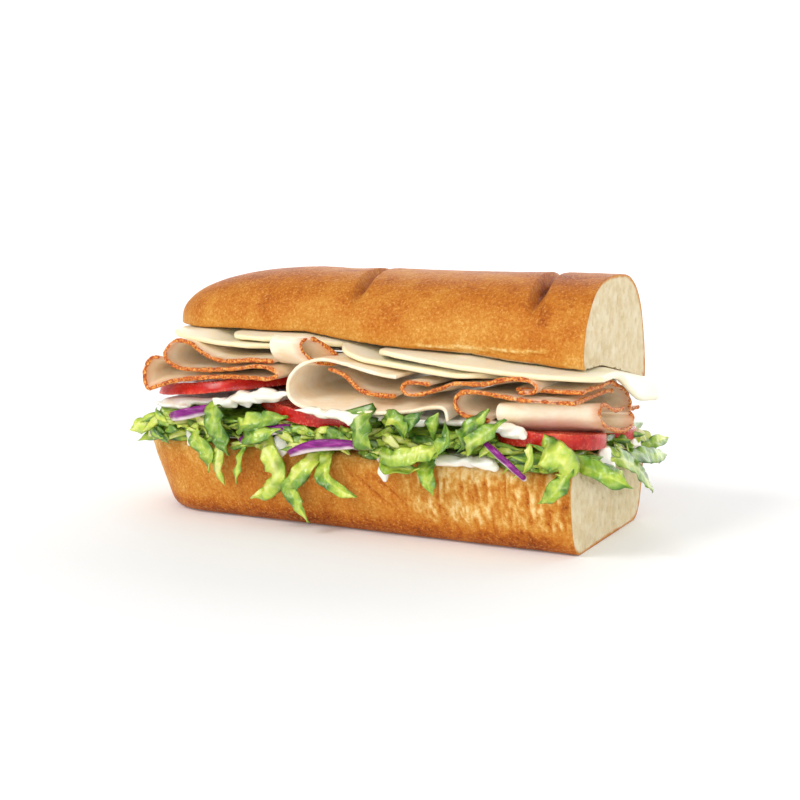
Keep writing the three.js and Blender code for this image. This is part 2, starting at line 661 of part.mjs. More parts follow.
function backShreds() {
  const random = randomFrom(2024);
  const list = [];
  for (let k = 0; k < BACK_SHREDS; k += 1) {
    const x = mix(-56, 70, (k + random(0.1, 0.9)) / BACK_SHREDS);
    const start = random(26.4, 31);
    const lean = random(-7, 7);
    const out = random(37, 39.6);
    const tip = start + random(-13, 5);
    const path = [[x, 26, start], [x + lean * 0.4, out, start + random(-1.5, 2)], [x + lean, out + 1, tip]];
    list.push({ wide: random(3.2, 6), facing: [0, 1, 0.25], path, across: 1 });
  }
  for (let k = 0; k < 5; k += 1) {
    const turn = mix(0.75, 1.3, k / 4) * Math.PI;
    const reach = [Math.cos(turn), Math.sin(turn)];
    const start = random(27, 31);
    const path = [0.3, 0.8, 1.02].map((share, n) => [
      -50 + 28 * share * reach[0], 30 * share * reach[1] * 0.8, start - n * random(0.4, 2.4),
    ]);
    list.push({ wide: random(4, 6), facing: [0.2, 0, 1], path, across: 1 });
  }
  return list;
}

// The body of the heap that every shred is fused to
function lettuceCore() {
  const level = heightAlong([
    [-70, 31], [-56, 32.8], [-26, 32.8], [0, 32.2], [24, 33.4], [56, 33.4], [62, 31], [80, 30],
  ]);
  const sides = 10;
  const stops = 11;
  const rings = [];
  for (let k = 0; k <= stops; k += 1) {
    const x = mix(-66, 77, k / stops);
    const width = Math.max(rounding(x, -44, 23, 2.2), 0.3);
    const ring = [];
    for (let s = 0; s < sides; s += 1) {
      const turn = (2 * Math.PI * s) / sides;
      const y = 31 * width * Math.sign(Math.cos(turn)) * Math.abs(Math.cos(turn)) ** 0.6;
      const up = Math.sign(Math.sin(turn)) * Math.abs(Math.sin(turn)) ** 0.6;
      const uneven = 0.5 * Math.sin(0.9 * x + 2 * s) + 0.4 * Math.sin(0.37 * x + 5 * s);
      ring.push(settle(x, y + uneven, mix(26, level(x), (up + 1) / 2) + uneven * 0.4));
    }
    rings.push(ring);
  }
  return loft(rings);
}

function lettuceHeap() {
  let heap = lettuceCore();
  for (const shred of [...FRONT_SHREDS, ...END_SHREDS, ...backShreds()]) heap = heap.add(lettuceShred(shred));
  return heap;
}

// Largest connected piece, so that a scrap left by a cut is dropped
function largestPiece(solid) {
  return solid.decompose().reduce((best, piece) => (piece.volume() > best.volume() ? piece : best));
}

function overlaps(a, b) {
  const [p, q] = [a.boundingBox(), b.boundingBox()];
  return [0, 1, 2].every((k) => p.min[k] < q.max[k] && q.min[k] < p.max[k]);
}

// Each piece is cut clear of the room that the pieces before it need
const pieces = [];
function addPiece(name, colour, roughness, make, detail = SMALLEST_DETAIL) {
  let solid = make(0);
  for (const earlier of pieces) {
    if (overlaps(solid, earlier.room)) solid = solid.subtract(earlier.room);
  }
  solid = largestPiece(solid.simplify(detail));
  pieces.push({ name, colour, roughness, solid, room: make(CLEARANCE) });
}

addPiece('bread_bottom', COLOURS.crust, 0.6, lowerBread);
addPiece('bread_top', COLOURS.crust, 0.5, upperBread);
CHEESE.forEach((slice, k) => {
  addPiece(`cheese_${k + 1}`, COLOURS.cheese, 0.4, (gap) => cheeseSlice(slice, gap));
});
FOLDED_SLICES.forEach((slice, k) => {
  addPiece(`turkey_fold_${k + 1}`, COLOURS.turkey, 0.5, (gap) => foldedSlice(slice, gap));
});
ROLLED_SLICES.forEach((slice, k) => {
  addPiece(`turkey_roll_${k + 1}`, COLOURS.turkey, 0.5, (gap) => rolledSlice(slice, gap));
});
TOMATOES.forEach((slice, k) => {
  addPiece(`tomato_${k + 1}`, COLOURS.tomato, 0.3, (gap) => tomatoSlice(slice, gap));
});
ONIONS.forEach((strip, k) => {
  addPiece(`onion_${k + 1}`, COLOURS.onion, 0.35, (gap) => onionStrip(strip, gap));
});
SAUCES.forEach((layer, k) => {
  addPiece(`mayonnaise_${k + 1}`, COLOURS.mayonnaise, 0.25, (gap) => sauceLayer(layer, gap), SOFT_DETAIL);
});
addPiece('lettuce', COLOURS.lettuce, 0.45, lettuceHeap, SOFT_DETAIL);

// Geometry of a finished solid
function geometryOf(solid) {
  const mesh = solid.getMesh();
  const geometry = new THREE.BufferGeometry();
  geometry.setAttribute('position', new THREE.BufferAttribute(Float32Array.from(mesh.vertProperties), 3));
  geometry.setIndex([...mesh.triVerts]);
  geometry.computeVertexNormals();
  return geometry;
}

const sandwich = new THREE.Group();
for (const { name, colour, roughness, solid } of pieces) {
  const material = new THREE.MeshStandardMaterial({ color: colour, roughness, metalness: 0 });
  const mesh = new THREE.Mesh(geometryOf(solid), material);
  mesh.name = name;
  sandwich.add(mesh);
}

export default sandwich;
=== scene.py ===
# Looks of the submarine sandwich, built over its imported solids. Lengths here are in millimetres and
# become metres where a mesh is made. X runs along the loaf to its cut end, the filling shows at -Y.
import math

import bpy
import numpy as np
from mathutils import Matrix, Vector


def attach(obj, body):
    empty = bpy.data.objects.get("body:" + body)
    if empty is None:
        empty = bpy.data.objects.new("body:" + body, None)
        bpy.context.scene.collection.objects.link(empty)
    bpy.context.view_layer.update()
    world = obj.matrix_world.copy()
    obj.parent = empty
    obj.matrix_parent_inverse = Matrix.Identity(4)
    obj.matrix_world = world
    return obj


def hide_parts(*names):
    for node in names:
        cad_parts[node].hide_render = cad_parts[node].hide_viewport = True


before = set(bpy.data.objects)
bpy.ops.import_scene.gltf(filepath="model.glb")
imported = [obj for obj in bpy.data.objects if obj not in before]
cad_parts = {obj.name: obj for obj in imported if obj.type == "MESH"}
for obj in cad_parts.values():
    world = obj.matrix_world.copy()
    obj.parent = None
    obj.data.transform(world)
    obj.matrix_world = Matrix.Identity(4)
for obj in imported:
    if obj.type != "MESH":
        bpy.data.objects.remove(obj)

MM = 0.001
TAU = 2 * math.pi
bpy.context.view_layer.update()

# Loaf, as the solids have it
CUT_X = 76
ROUND_X = -76
BASE_HALF_WIDTH = 28.5
WALL_LEAN = 0.17
BASE_ROUNDING = 5
LOWER_TOP = 24
LOWER_RISE = 2
LOWER_ROUND_LENGTH = 31
END_LEAN = 8.5
# Slanting creases in the lower half's front: place along X, height, slope, half height
CREASES = [(16.5, 14, -1.25, 8), (21.5, 15, -1.3, 7), (9, 19, -0.8, 5)]
RIDGE = 74.5
UPPER_MIDDLE_Y = 4
UPPER_HALF_WIDTH = 27.5
UPPER_DROP = 8
UPPER_ROUND_X = -67
UPPER_ROUND_LENGTH = 50
UPPER_ROUND_PLAN = 29
FRONT_SQUARENESS = 2.6
BACK_SQUARENESS = 2.1
LEVEL_TO_Y = -8
BACK_Y = 33
# Height of the upper half's underside along X
UNDERSIDE = [(-80, 57), (-10, 57), (2, 55.3), (15, 54), (31, 53.4), (42, 53), (54, 51.6), (80, 50)]
# Scores across the upper half: place along X, half width, depth
SCORES = [(2, 2.8, 4.8), (57, 2.8, 5.4)]
SCORE_SLANT = 3
LIP_HEIGHT = 54.8
# Distances of the first rings from the cut end, close together so that its edge stays crisp
CUT_EDGE = np.array([0, 0.12, 0.35, 0.7])
AFTER_EDGE = 1.1
RING_STEP = 0.68
CAP_STEPS = 56

# Filling
TURKEY_THICKNESS = 1.1
CHEESE_THICKNESS = 2
LEAF_THICKNESS = 0.36
TURKEY_FRONT = -35.5
TURKEY_BACK = 32
MOUTH_DEPTH = 16
EDGE_ROUNDING = 0.65


# Numbers

def ramp(low, high, value):
    share = np.clip((value - low) / (high - low), 0, 1)
    return share * share * (3 - 2 * share)


def mix(a, b, share):
    return a + (b - a) * share


def xyz(x, y=0, z=0):
    return np.stack(np.broadcast_arrays(x, y, z), -1).astype(float)


def grid(along, across):
    return np.meshgrid(along, across, indexing="ij")


def unit(vectors):
    return vectors / np.maximum(np.linalg.norm(vectors, axis=-1, keepdims=True), 1e-9)


def blurred(ring, axis):
    """A closed ring with each point drawn halfway towards its neighbours."""
    return 0.5 * ring + 0.25 * (np.roll(ring, 1, axis) + np.roll(ring, -1, axis))


def signed_power(value, power):
    return np.sign(value) * np.abs(value) ** power


def along_stations(stations):
    """Value read from stations of (place, value), straight between them."""
    places, values = np.array(stations, float).T
    return lambda x: np.interp(x, places, values)


underside = along_stations(UNDERSIDE)


def depth_share(y):
    return np.clip((y - LEVEL_TO_Y) / (BACK_Y - LEVEL_TO_Y), 0, 1.1)


def settle(x, y, z):
    """A point of the filling, with its height drawn together towards the back as the loaf closes."""
    depth = depth_share(y)
    low = LOWER_TOP + LOWER_RISE * depth
    high = underside(x) - UPPER_DROP * depth
    return xyz(x, y, mix(low, high, (z - LOWER_TOP) / (underside(x) - LOWER_TOP)))


def scrambled(cell, salt):
    """A whole number of 32 bits for each cell, with no pattern and always the same."""
    h = (cell[..., 0] * 73856093) ^ (cell[..., 1] * 19349663) ^ (cell[..., 2] * 83492791) ^ salt
    return ((h ^ (h >> 13)) * 1274126177) & 0xFFFFFFFF


def noise(points, size, seed=0):
    """Smooth noise from -1 to 1, with lumps about size across, which may differ along X, Y and Z."""
    q = np.asarray(points, float) / size + 37.7 * seed
    cell = np.floor(q).astype(np.int64)
    f = q - cell
    f = f * f * (3 - 2 * f)
    total = np.zeros(q.shape[:-1])
    for corner in np.ndindex(2, 2, 2):
        h = scrambled(cell + np.array(corner), seed * 7919 + 101)
        value = ((h ^ (h >> 16)) & 0xFFFF) / 32767.5 - 1
        weight = np.prod(np.where(np.array(corner) == 1, f, 1 - f), axis=-1)
        total = total + weight * value
    return total


def rough(points, size, seed=0, layers=3):
    """Noise with finer and finer layers added."""
    total = 0
    for k in range(layers):
        total = total + noise(points, np.asarray(size) / 2 ** k, seed + k) / 2 ** k
    return total / (2 - 0.5 ** (layers - 1))


def pores(points, size, seed=0):
    """Depth share of round pores of mixed sizes, from 0 between them to 1 at their middles."""
    q = np.asarray(points, float) / size
    cell = np.floor(q).astype(np.int64)
    deepest = np.zeros(q.shape[:-1])
    for step in np.ndindex(3, 3, 3):
        c = cell + np.array(step) - 1
        h = scrambled(c, seed * 7919 + 55)
        spots = np.stack([((h >> s) & 0xFF) / 255 for s in (0, 8, 16)], -1)
        radius = 0.2 + 0.55 * (((h >> 24) & 0xFF) / 255) ** 3
        away = np.linalg.norm(q - c - spots, axis=-1) / radius
        deepest = np.maximum(deepest, np.sqrt(np.clip(1 - away ** 2, 0, 1)) * radius / 0.75)
    return deepest


def curve_through(points):
    """Smooth curve through points, read by its share of length from 0 to 1."""
    p = np.array(points, float)
    p = np.vstack([2 * p[0] - p[1], p, 2 * p[-1] - p[-2]])
    line = []
    for k in range(1, len(p) - 2):
        a, b, c, d = p[k - 1:k + 3]
        gaps = np.linalg.norm(np.diff(p[k - 1:k + 3], axis=0), axis=1) ** 0.5
        t0, t1, t2, t3 = np.cumsum([0, *gaps])
        s = np.linspace(t1, t2, 40, endpoint=False)[:, None]
        ab = mix(a, b, (s - t0) / (t1 - t0))
        bc = mix(b, c, (s - t1) / (t2 - t1))
        cd = mix(c, d, (s - t2) / (t3 - t2))
        abc = mix(ab, bc, (s - t0) / (t2 - t0))
        bcd = mix(bc, cd, (s - t1) / (t3 - t1))
        line.append(mix(abc, bcd, (s - t1) / (t2 - t1)))
    line = np.vstack([*line, p[-2:-1]])
    run = np.concatenate([[0], np.cumsum(np.linalg.norm(np.diff(line, axis=0), axis=1))])

    def at(t):
        place = np.clip(t, 0, 1) * run[-1]
        return np.stack([np.interp(place, run, line[:, k]) for k in range(line.shape[1])], -1)

    at.length = run[-1]
    return at


# Meshes

def add(name, data):
    thing = bpy.data.objects.new(name, data)
    bpy.context.scene.collection.objects.link(thing)
    return thing


def make_piece(name, points, faces, attributes, material, slot):
    mesh = bpy.data.meshes.new(name)
    mesh.from_pydata((np.reshape(points, (-1, 3)) * MM).tolist(), [], faces)
    mesh.materials.append(material)
    for key, values in attributes.items():
        layer = mesh.attributes.new(key, "FLOAT", "POINT")
        layer.data.foreach_set("value", np.asarray(values, np.float32).ravel())
    mesh.shade_smooth()
    piece = add(name, mesh)
    return piece


def stations(length, step, edge=EDGE_ROUNDING):
    """Shares from 0 to 1 along a length, close together at both ends so that an edge can be rounded."""
    near = edge * np.array([0, 0.06, 0.2, 0.42, 0.7])
    count = max(3, round((length - 2 * edge) / step) + 1)
    return np.concatenate([near, np.linspace(edge, length - edge, count), length - near[::-1]]) / length


def sheet(middle, thickness, attributes, relief=0.0):
    """Points, faces and attributes of a thin solid round a grid of points, rounded along its edges."""
    normal = unit(np.cross(np.gradient(middle, axis=0), np.gradient(middle, axis=1)))
    far = []
    for axis in (0, 1):
        steps = np.linalg.norm(np.diff(middle, axis=axis), axis=-1)
        first = np.zeros_like(np.take(steps, [0], axis))
        run = np.cumsum(np.concatenate([first, steps], axis), axis)
        far.append(np.minimum(run, np.take(run, [-1], axis) - run))
    half = thickness / 2
    share = np.clip(np.minimum(*far) / half, 0, 1)
    off = half * np.sqrt(1 - (1 - share) ** 2) + relief * np.minimum(share * 3, 1)
    front = middle + normal * off[..., None]
    back = (middle - normal * off[..., None])[1:-1, 1:-1]
    n, m = middle.shape[:2]
    one = np.arange(n * m).reshape(n, m)
    two = one.copy()
    two[1:-1, 1:-1] = n * m + np.arange((n - 2) * (m - 2)).reshape(n - 2, m - 2)
    points = np.concatenate([front.reshape(-1, 3), back.reshape(-1, 3)])
    quads = np.stack([one[:-1, :-1], one[1:, :-1], one[1:, 1:], one[:-1, 1:]], -1).reshape(-1, 4)
    other = np.stack([two[:-1, :-1], two[:-1, 1:], two[1:, 1:], two[1:, :-1]], -1).reshape(-1, 4)
    out = {}
    for key, values in attributes.items():
        values = np.broadcast_to(values, (n, m))
        out[key] = np.concatenate([values.ravel(), values[1:-1, 1:-1].ravel()])
    return points, np.concatenate([quads, other]), out


def loft(rings):
    """Faces of a closed body through rings of points, with a small face over each end."""
    n, m = rings.shape[:2]
    index = np.arange(n * m).reshape(n, m)
    turn = np.roll(index, -1, axis=1)
    quads = np.stack([index[:-1], turn[:-1], turn[1:], index[1:]], -1).reshape(-1, 4).tolist()
    return quads + [index[0][::-1].tolist(), index[-1].tolist()]


def join(parts):
    """Several sets of points, faces and attributes as one."""
    points, faces, keys, start = [], [], {}, 0
    for p, f, attributes in parts:
        points.append(p)
        faces.append(np.asarray(f) + start)
        start += len(p)
        for key, values in attributes.items():
            keys.setdefault(key, []).append(values)
    return np.concatenate(points), np.concatenate(faces), {k: np.concatenate(v) for k, v in keys.items()}


def remesh(piece, voxel, smoothing):
    """Makes one skin of a piece's overlapping parts and rounds it."""
    modifier = piece.modifiers.new("skin", "REMESH")
    modifier.mode = "VOXEL"
    modifier.voxel_size = voxel * MM
    modifier.use_smooth_shade = True
    modifier = piece.modifiers.new("round", "SMOOTH")
    modifier.factor = 0.5
    modifier.iterations = smoothing
    graph = bpy.context.evaluated_depsgraph_get()
    mesh = bpy.data.meshes.new_from_object(piece.evaluated_get(graph))
    material = piece.data.materials[0]
    piece.modifiers.clear()
    piece.data = mesh
    mesh.materials.clear()
    mesh.materials.append(material)


# Materials

def colour(red, green, blue):
    """Linear colour of one given as 0 to 255."""
    share = np.array([red, green, blue]) / 255
    linear = np.where(share <= 0.04045, share / 12.92, ((share + 0.055) / 1.055) ** 2.4)
    return (*linear.tolist(), 1)


class Nodes:
    """A material's nodes, added one call at a time."""

    def __init__(self, name, roughness, specular, subsurface=0.0, radius=(1.0, 0.5, 0.3), coat=0.0):
        self.material = bpy.data.materials.new(name)
        self.material.use_nodes = True
        self.tree = self.material.node_tree
        self.shader = self.tree.nodes["Principled BSDF"].inputs
        values = {
            "Roughness": roughness, "Specular IOR Level": specular, "Subsurface Weight": subsurface,
            "Subsurface Radius": radius, "Subsurface Scale": 1.2 * MM, "Coat Weight": coat,
            "Coat Roughness": 0.12,
        }
        for key, value in values.items():
            self.shader[key].default_value = value
        self.place = self.node("TexCoord", {}).outputs["Object"]

    def node(self, kind, sockets, **settings):
        """A node with its sockets, by name or number, linked to outputs or set to values."""
        node = self.tree.nodes.new("ShaderNode" + kind)
        for key, value in settings.items():
            setattr(node, key, value)
        for key, value in sockets.items():
            if isinstance(value, bpy.types.NodeSocket):
                self.tree.links.new(value, node.inputs[key])
            else:
                node.inputs[key].default_value = value
        return node

    def attribute(self, name):
        return self.node("Attribute", {}, attribute_name=name).outputs["Fac"]

    def noise(self, size, detail=3, rough=0.6, stretch=(1, 1, 1)):
        """Noise with lumps about size millimetres across."""
        scale = [1 / (size * MM * s) for s in stretch]
        place = self.node("Mapping", {"Vector": self.place, "Scale": scale}).outputs[0]
        sockets = {"Vector": place, "Scale": 1, "Detail": detail, "Roughness": rough}
        return self.node("TexNoise", sockets).outputs["Fac"]

    def cells(self, size):
        place = self.node("Mapping", {"Vector": self.place, "Scale": [1 / (size * MM)] * 3}).outputs[0]
        return self.node("TexVoronoi", {"Vector": place, "Scale": 1}).outputs["Distance"]

    def maths(self, operation, a, b, clamp=False):
        return self.node("Math", {0: a, 1: b}, operation=operation, use_clamp=clamp).outputs[0]

    def swing(self, value, amount):
        """The value's departure from its middle of 0.5, times an amount."""
        return self.maths("MULTIPLY", self.maths("SUBTRACT", value, 0.5), amount)

    def spread(self, value, low, high):
        """The value from low to high, as 0 to 1."""
        return self.node("MapRange", {"Value": value, "From Min": low, "From Max": high}).outputs["Result"]

    def colours(self, value, *stops):
        """Colours over a value, from stops of (value, red, green, blue)."""
        node = self.node("ValToRGB", {"Fac": value})
        elements = node.color_ramp.elements
        while len(elements) < len(stops):
            elements.new(0.5)
        for element, (place, *shade) in zip(elements, stops):
            element.position = place
            element.color = colour(*shade)
        return node.outputs["Color"]

    def blend(self, share, a, b):
        sockets = {"Factor": share, "A": a, "B": b}
        return self.node("Mix", sockets, data_type="RGBA").outputs["Result"]

    def finish(self, base, height, depth, roughness=None):
        self.tree.links.new(base, self.shader["Base Color"])
        bump = self.node("Bump", {"Distance": depth * MM, "Strength": 1, "Height": height})
        self.tree.links.new(bump.outputs[0], self.shader["Normal"])
        if roughness is not None:
            self.tree.links.new(roughness, self.shader["Roughness"])
        return self.material


def bread_material():
    n = Nodes("bread", roughness=0.5, specular=0.08, subsurface=0.06, radius=(1.0, 0.55, 0.25))
    mottled = n.spread(n.noise(9, 4, 0.62), 0.3, 0.7)
    fine = n.spread(n.noise(0.9, 3, 0.75), 0.32, 0.68)
    # Crust colour follows the browning level, which also carries painted highlights and painted shade.
    level = n.maths("ADD", n.attribute("browning_and_painted_light"), n.swing(mottled, 0.2))
    level = n.maths("ADD", level, n.swing(fine, 0.3), clamp=True)
    crust = n.colours(
        level, (0.0, 240, 210, 150), (0.18, 224, 176, 98), (0.38, 204, 139, 56), (0.6, 189, 110, 36),
        (0.82, 154, 76, 24), (1.0, 96, 44, 16))
    specks = n.spread(n.noise(0.7, 2, 0.5), 0.56, 0.72)
    crust = n.blend(n.maths("MULTIPLY", specks, 0.42), crust, colour(236, 186, 104))
    crumb_tone = n.spread(n.noise(3.5, 4, 0.65), 0.25, 0.75)
    crumb = n.colours(crumb_tone, (0, 214, 194, 152), (0.5, 228, 212, 176), (1, 238, 226, 198))
    # Darker in the pores: painted shade in the crumb's holes.
    crumb = n.blend(n.maths("MULTIPLY", n.attribute("pore"), 0.3), crumb, colour(206, 174, 122))
    base = n.blend(n.attribute("crumb"), crust, crumb)
    height = n.maths("ADD", n.noise(0.5, 3, 0.7), n.maths("MULTIPLY", n.noise(2.2, 2, 0.5), 1.2))
    roughness = n.maths("ADD", n.maths("MULTIPLY", n.attribute("crumb"), 0.4), 0.46)
    return n.finish(base, height, 0.2, roughness)


def cheese_material():
    n = Nodes("cheese", roughness=0.38, specular=0.4, subsurface=0.35, radius=(1.0, 0.75, 0.4))
    tone = n.spread(n.noise(12, 3, 0.5), 0.3, 0.7)
    base = n.colours(tone, (0, 246, 234, 200), (1, 252, 246, 224))
    # Yellower at the edges: the cut edge's own colour with painted shade.
    base = n.blend(n.attribute("edge"), base, colour(246, 230, 184))
    return n.finish(base, n.noise(1.5, 3, 0.6), 0.05)


def turkey_material():
    n = Nodes("turkey", roughness=0.36, specular=0.35, subsurface=0.12, radius=(1.0, 0.6, 0.4), coat=0.1)
    tone = n.spread(n.noise(7, 4, 0.6), 0.3, 0.7)
    base = n.colours(tone, (0, 248, 222, 182), (0.5, 254, 236, 206), (1, 255, 245, 224))
    fibres = n.spread(n.noise(1.2, 2, 0.5, (4, 1, 1)), 0.35, 0.65)
    base = n.blend(n.maths("MULTIPLY", fibres, 0.12), base, colour(214, 160, 120))
    grains = n.spread(n.noise(0.55, 2, 0.6), 0.32, 0.68)
    spice = n.colours(
        grains, (0.0, 104, 36, 12), (0.26, 172, 70, 18), (0.5, 206, 108, 32), (0.76, 228, 150, 60),
        (1.0, 246, 202, 120))
    rim = n.attribute("rim")
    base = n.blend(rim, base, spice)
    # Warm orange behind the rim: spice stain with painted shade.
    base = n.blend(n.attribute("stain"), base, colour(214, 136, 80))
    height = n.maths("ADD", n.noise(0.9, 3, 0.6), n.maths("MULTIPLY", n.noise(0.35, 2, 0.6), rim))
    roughness = n.maths("ADD", n.maths("MULTIPLY", rim, 0.25), 0.34)
    return n.finish(base, height, 0.1, roughness)


def tomato_material():
    n = Nodes("tomato", roughness=0.24, specular=0.3, subsurface=0.08, radius=(1.0, 0.25, 0.12), coat=0.12)
    tone = n.spread(n.noise(5, 4, 0.6), 0.3, 0.7)
    skin = n.colours(tone, (0, 156, 10, 8), (0.6, 192, 22, 14), (1, 212, 48, 24))
    flesh = n.colours(tone, (0, 166, 20, 16), (0.5, 198, 40, 28), (1, 222, 92, 60))
    glints = n.spread(n.cells(0.8), 0.0, 0.5)
    flesh = n.blend(n.maths("SUBTRACT", 1.0, glints, clamp=True), flesh, colour(240, 152, 112))
    fleshy = n.attribute("flesh")
    height = n.maths("MULTIPLY", n.noise(0.7, 3, 0.7), fleshy)
    return n.finish(n.blend(fleshy, skin, flesh), height, 0.35)


def onion_material():
    n = Nodes("onion", roughness=0.26, specular=0.35, subsurface=0.1, radius=(0.9, 0.6, 0.8), coat=0.1)
    streaks = n.spread(n.noise(1.0, 3, 0.6, (9, 1, 1)), 0.3, 0.7)
    skin = n.colours(streaks, (0, 92, 8, 88), (0.6, 134, 20, 126), (1, 164, 62, 150))
    flesh = n.colours(streaks, (0, 222, 196, 214), (1, 246, 236, 236))
    return n.finish(n.blend(n.attribute("flesh"), skin, flesh), n.noise(0.8, 2, 0.5), 0.04)


def mayonnaise_material():
    n = Nodes("mayonnaise", roughness=0.22, specular=0.5, subsurface=0.4, radius=(1.0, 0.85, 0.6), coat=0.3)
    tone = n.spread(n.noise(4, 3, 0.5), 0.3, 0.7)
    base = n.colours(tone, (0, 244, 238, 218), (1, 253, 250, 240))
    return n.finish(base, n.noise(2.5, 2, 0.5), 0.1)


def lettuce_material():
    n = Nodes("lettuce", roughness=0.3, specular=0.5, subsurface=0.12, radius=(0.5, 1.0, 0.15), coat=0.25)
    mottled = n.spread(n.noise(2.6, 4, 0.6), 0.3, 0.7)
    level = n.maths("ADD", n.attribute("tone"), n.swing(mottled, 0.3), clamp=True)
    base = n.colours(
        level, (0.0, 224, 228, 140), (0.2, 204, 216, 86), (0.42, 164, 190, 58), (0.68, 108, 150, 42),
        (1.0, 46, 92, 24))
    base = n.blend(n.attribute("vein"), base, colour(222, 230, 160))
    return n.finish(base, n.noise(0.9, 3, 0.65), 0.12)


BREAD = bread_material()
CHEESE_LOOK = cheese_material()
TURKEY_LOOK = turkey_material()
TOMATO_LOOK = tomato_material()
ONION_LOOK = onion_material()
MAYONNAISE_LOOK = mayonnaise_material()
LETTUCE_LOOK = lettuce_material()


# Bread

def rounding(x, start, length, power):
    """Share of the full size along a rounded end, from 1 where it starts to 0 at its tip."""
    run = np.clip((start - x) / length, 0, 1)
    return (1 - run ** power) ** (1 / power)


def places_along(straight_end, even, tip, closing):
    """Places along X: close at the cut edge, then even, then closing up towards the rounded end's tip."""
    rest = straight_end + (tip - straight_end) * np.sin(np.linspace(0, 1, closing) * math.pi / 2)
    steady = np.linspace(CUT_X - AFTER_EDGE, straight_end, even, endpoint=False)
    return np.concatenate([CUT_X - CUT_EDGE, steady, rest])


def finer(rings, smoothing):
    """Rings of corner points as rings of close points with their corners rounded."""
    closed = np.concatenate([rings, rings[:, :1]], axis=1)
    widest = rings[len(rings) // 3]
    lengths = np.linalg.norm(np.diff(np.concatenate([widest, widest[:1]]), axis=0), axis=1)
    places = []
    for k, length in enumerate(lengths):
        count = max(2, round(length / RING_STEP))
        places.extend(k + np.arange(count) / count)
    places = np.array(places)
    low = np.floor(places).astype(int)
    dense = mix(closed[:, low], closed[:, low + 1], (places - low)[None, :, None])
    for _ in range(smoothing):
        dense = blurred(dense, 1)
    return dense


def ring_normals(rings):
    """Outward directions square to the surface through the rings."""
    around = np.roll(rings, -1, axis=1) - np.roll(rings, 1, axis=1)
    normal = unit(np.cross(np.gradient(rings, axis=0), around))
    outward = rings - rings.mean(axis=1, keepdims=True)
    return normal * np.sign(np.sum(outward * normal, axis=-1).mean())


def bread_piece(name, rings, crumb, pore, browning_and_painted_light):
    """A half of the loaf from its rings, with the face at its cut end, which is crumb within a thin crust."""
    first = rings[0]
    middle = first.mean(axis=0)
    smooth = first
    for _ in range(30):
        smooth = blurred(smooth, 0)
    # The face is rings that shrink to its middle, with corners that smooth out on the way
    shares = (np.linspace(0.02, 1, CAP_STEPS, endpoint=False) ** 0.85)[:, None, None]
    outline = smooth + (first - smooth) * shares ** 30
    face = middle + (outline - middle) * shares
    inward = np.linalg.norm(first - middle, axis=-1)[None, :] * (1 - shares[..., 0])
    small = pores(face * (0.5, 1, 0.62), 1.2, 3) * ramp(0.5, 1.4, inward)
    coarse = pores(face * (0.5, 1, 0.6), 2.4, 8) * ramp(0.8, 2.4, inward)
    sunk = 0.5 * small + 0.45 * coarse + 0.3 * rough(face, 5, 4) + 0.2
    face[..., 0] -= sunk * ramp(0, 1.4, inward)
    inside = np.maximum(ramp(0.35, 1.15, inward + 0.25 * noise(face, 1.3, 6)), crumb[0])
    values = {
        "crumb": np.concatenate([inside, crumb]),
        "pore": np.concatenate([np.clip(small + coarse, 0, 1), pore]),
        "browning_and_painted_light": np.concatenate([np.full(inside.shape, 0.45), np.clip(browning_and_painted_light, 0, 1)]),
    }
    rings = np.concatenate([face, rings])
    return make_piece(name, rings, loft(rings), values, BREAD, "crust")


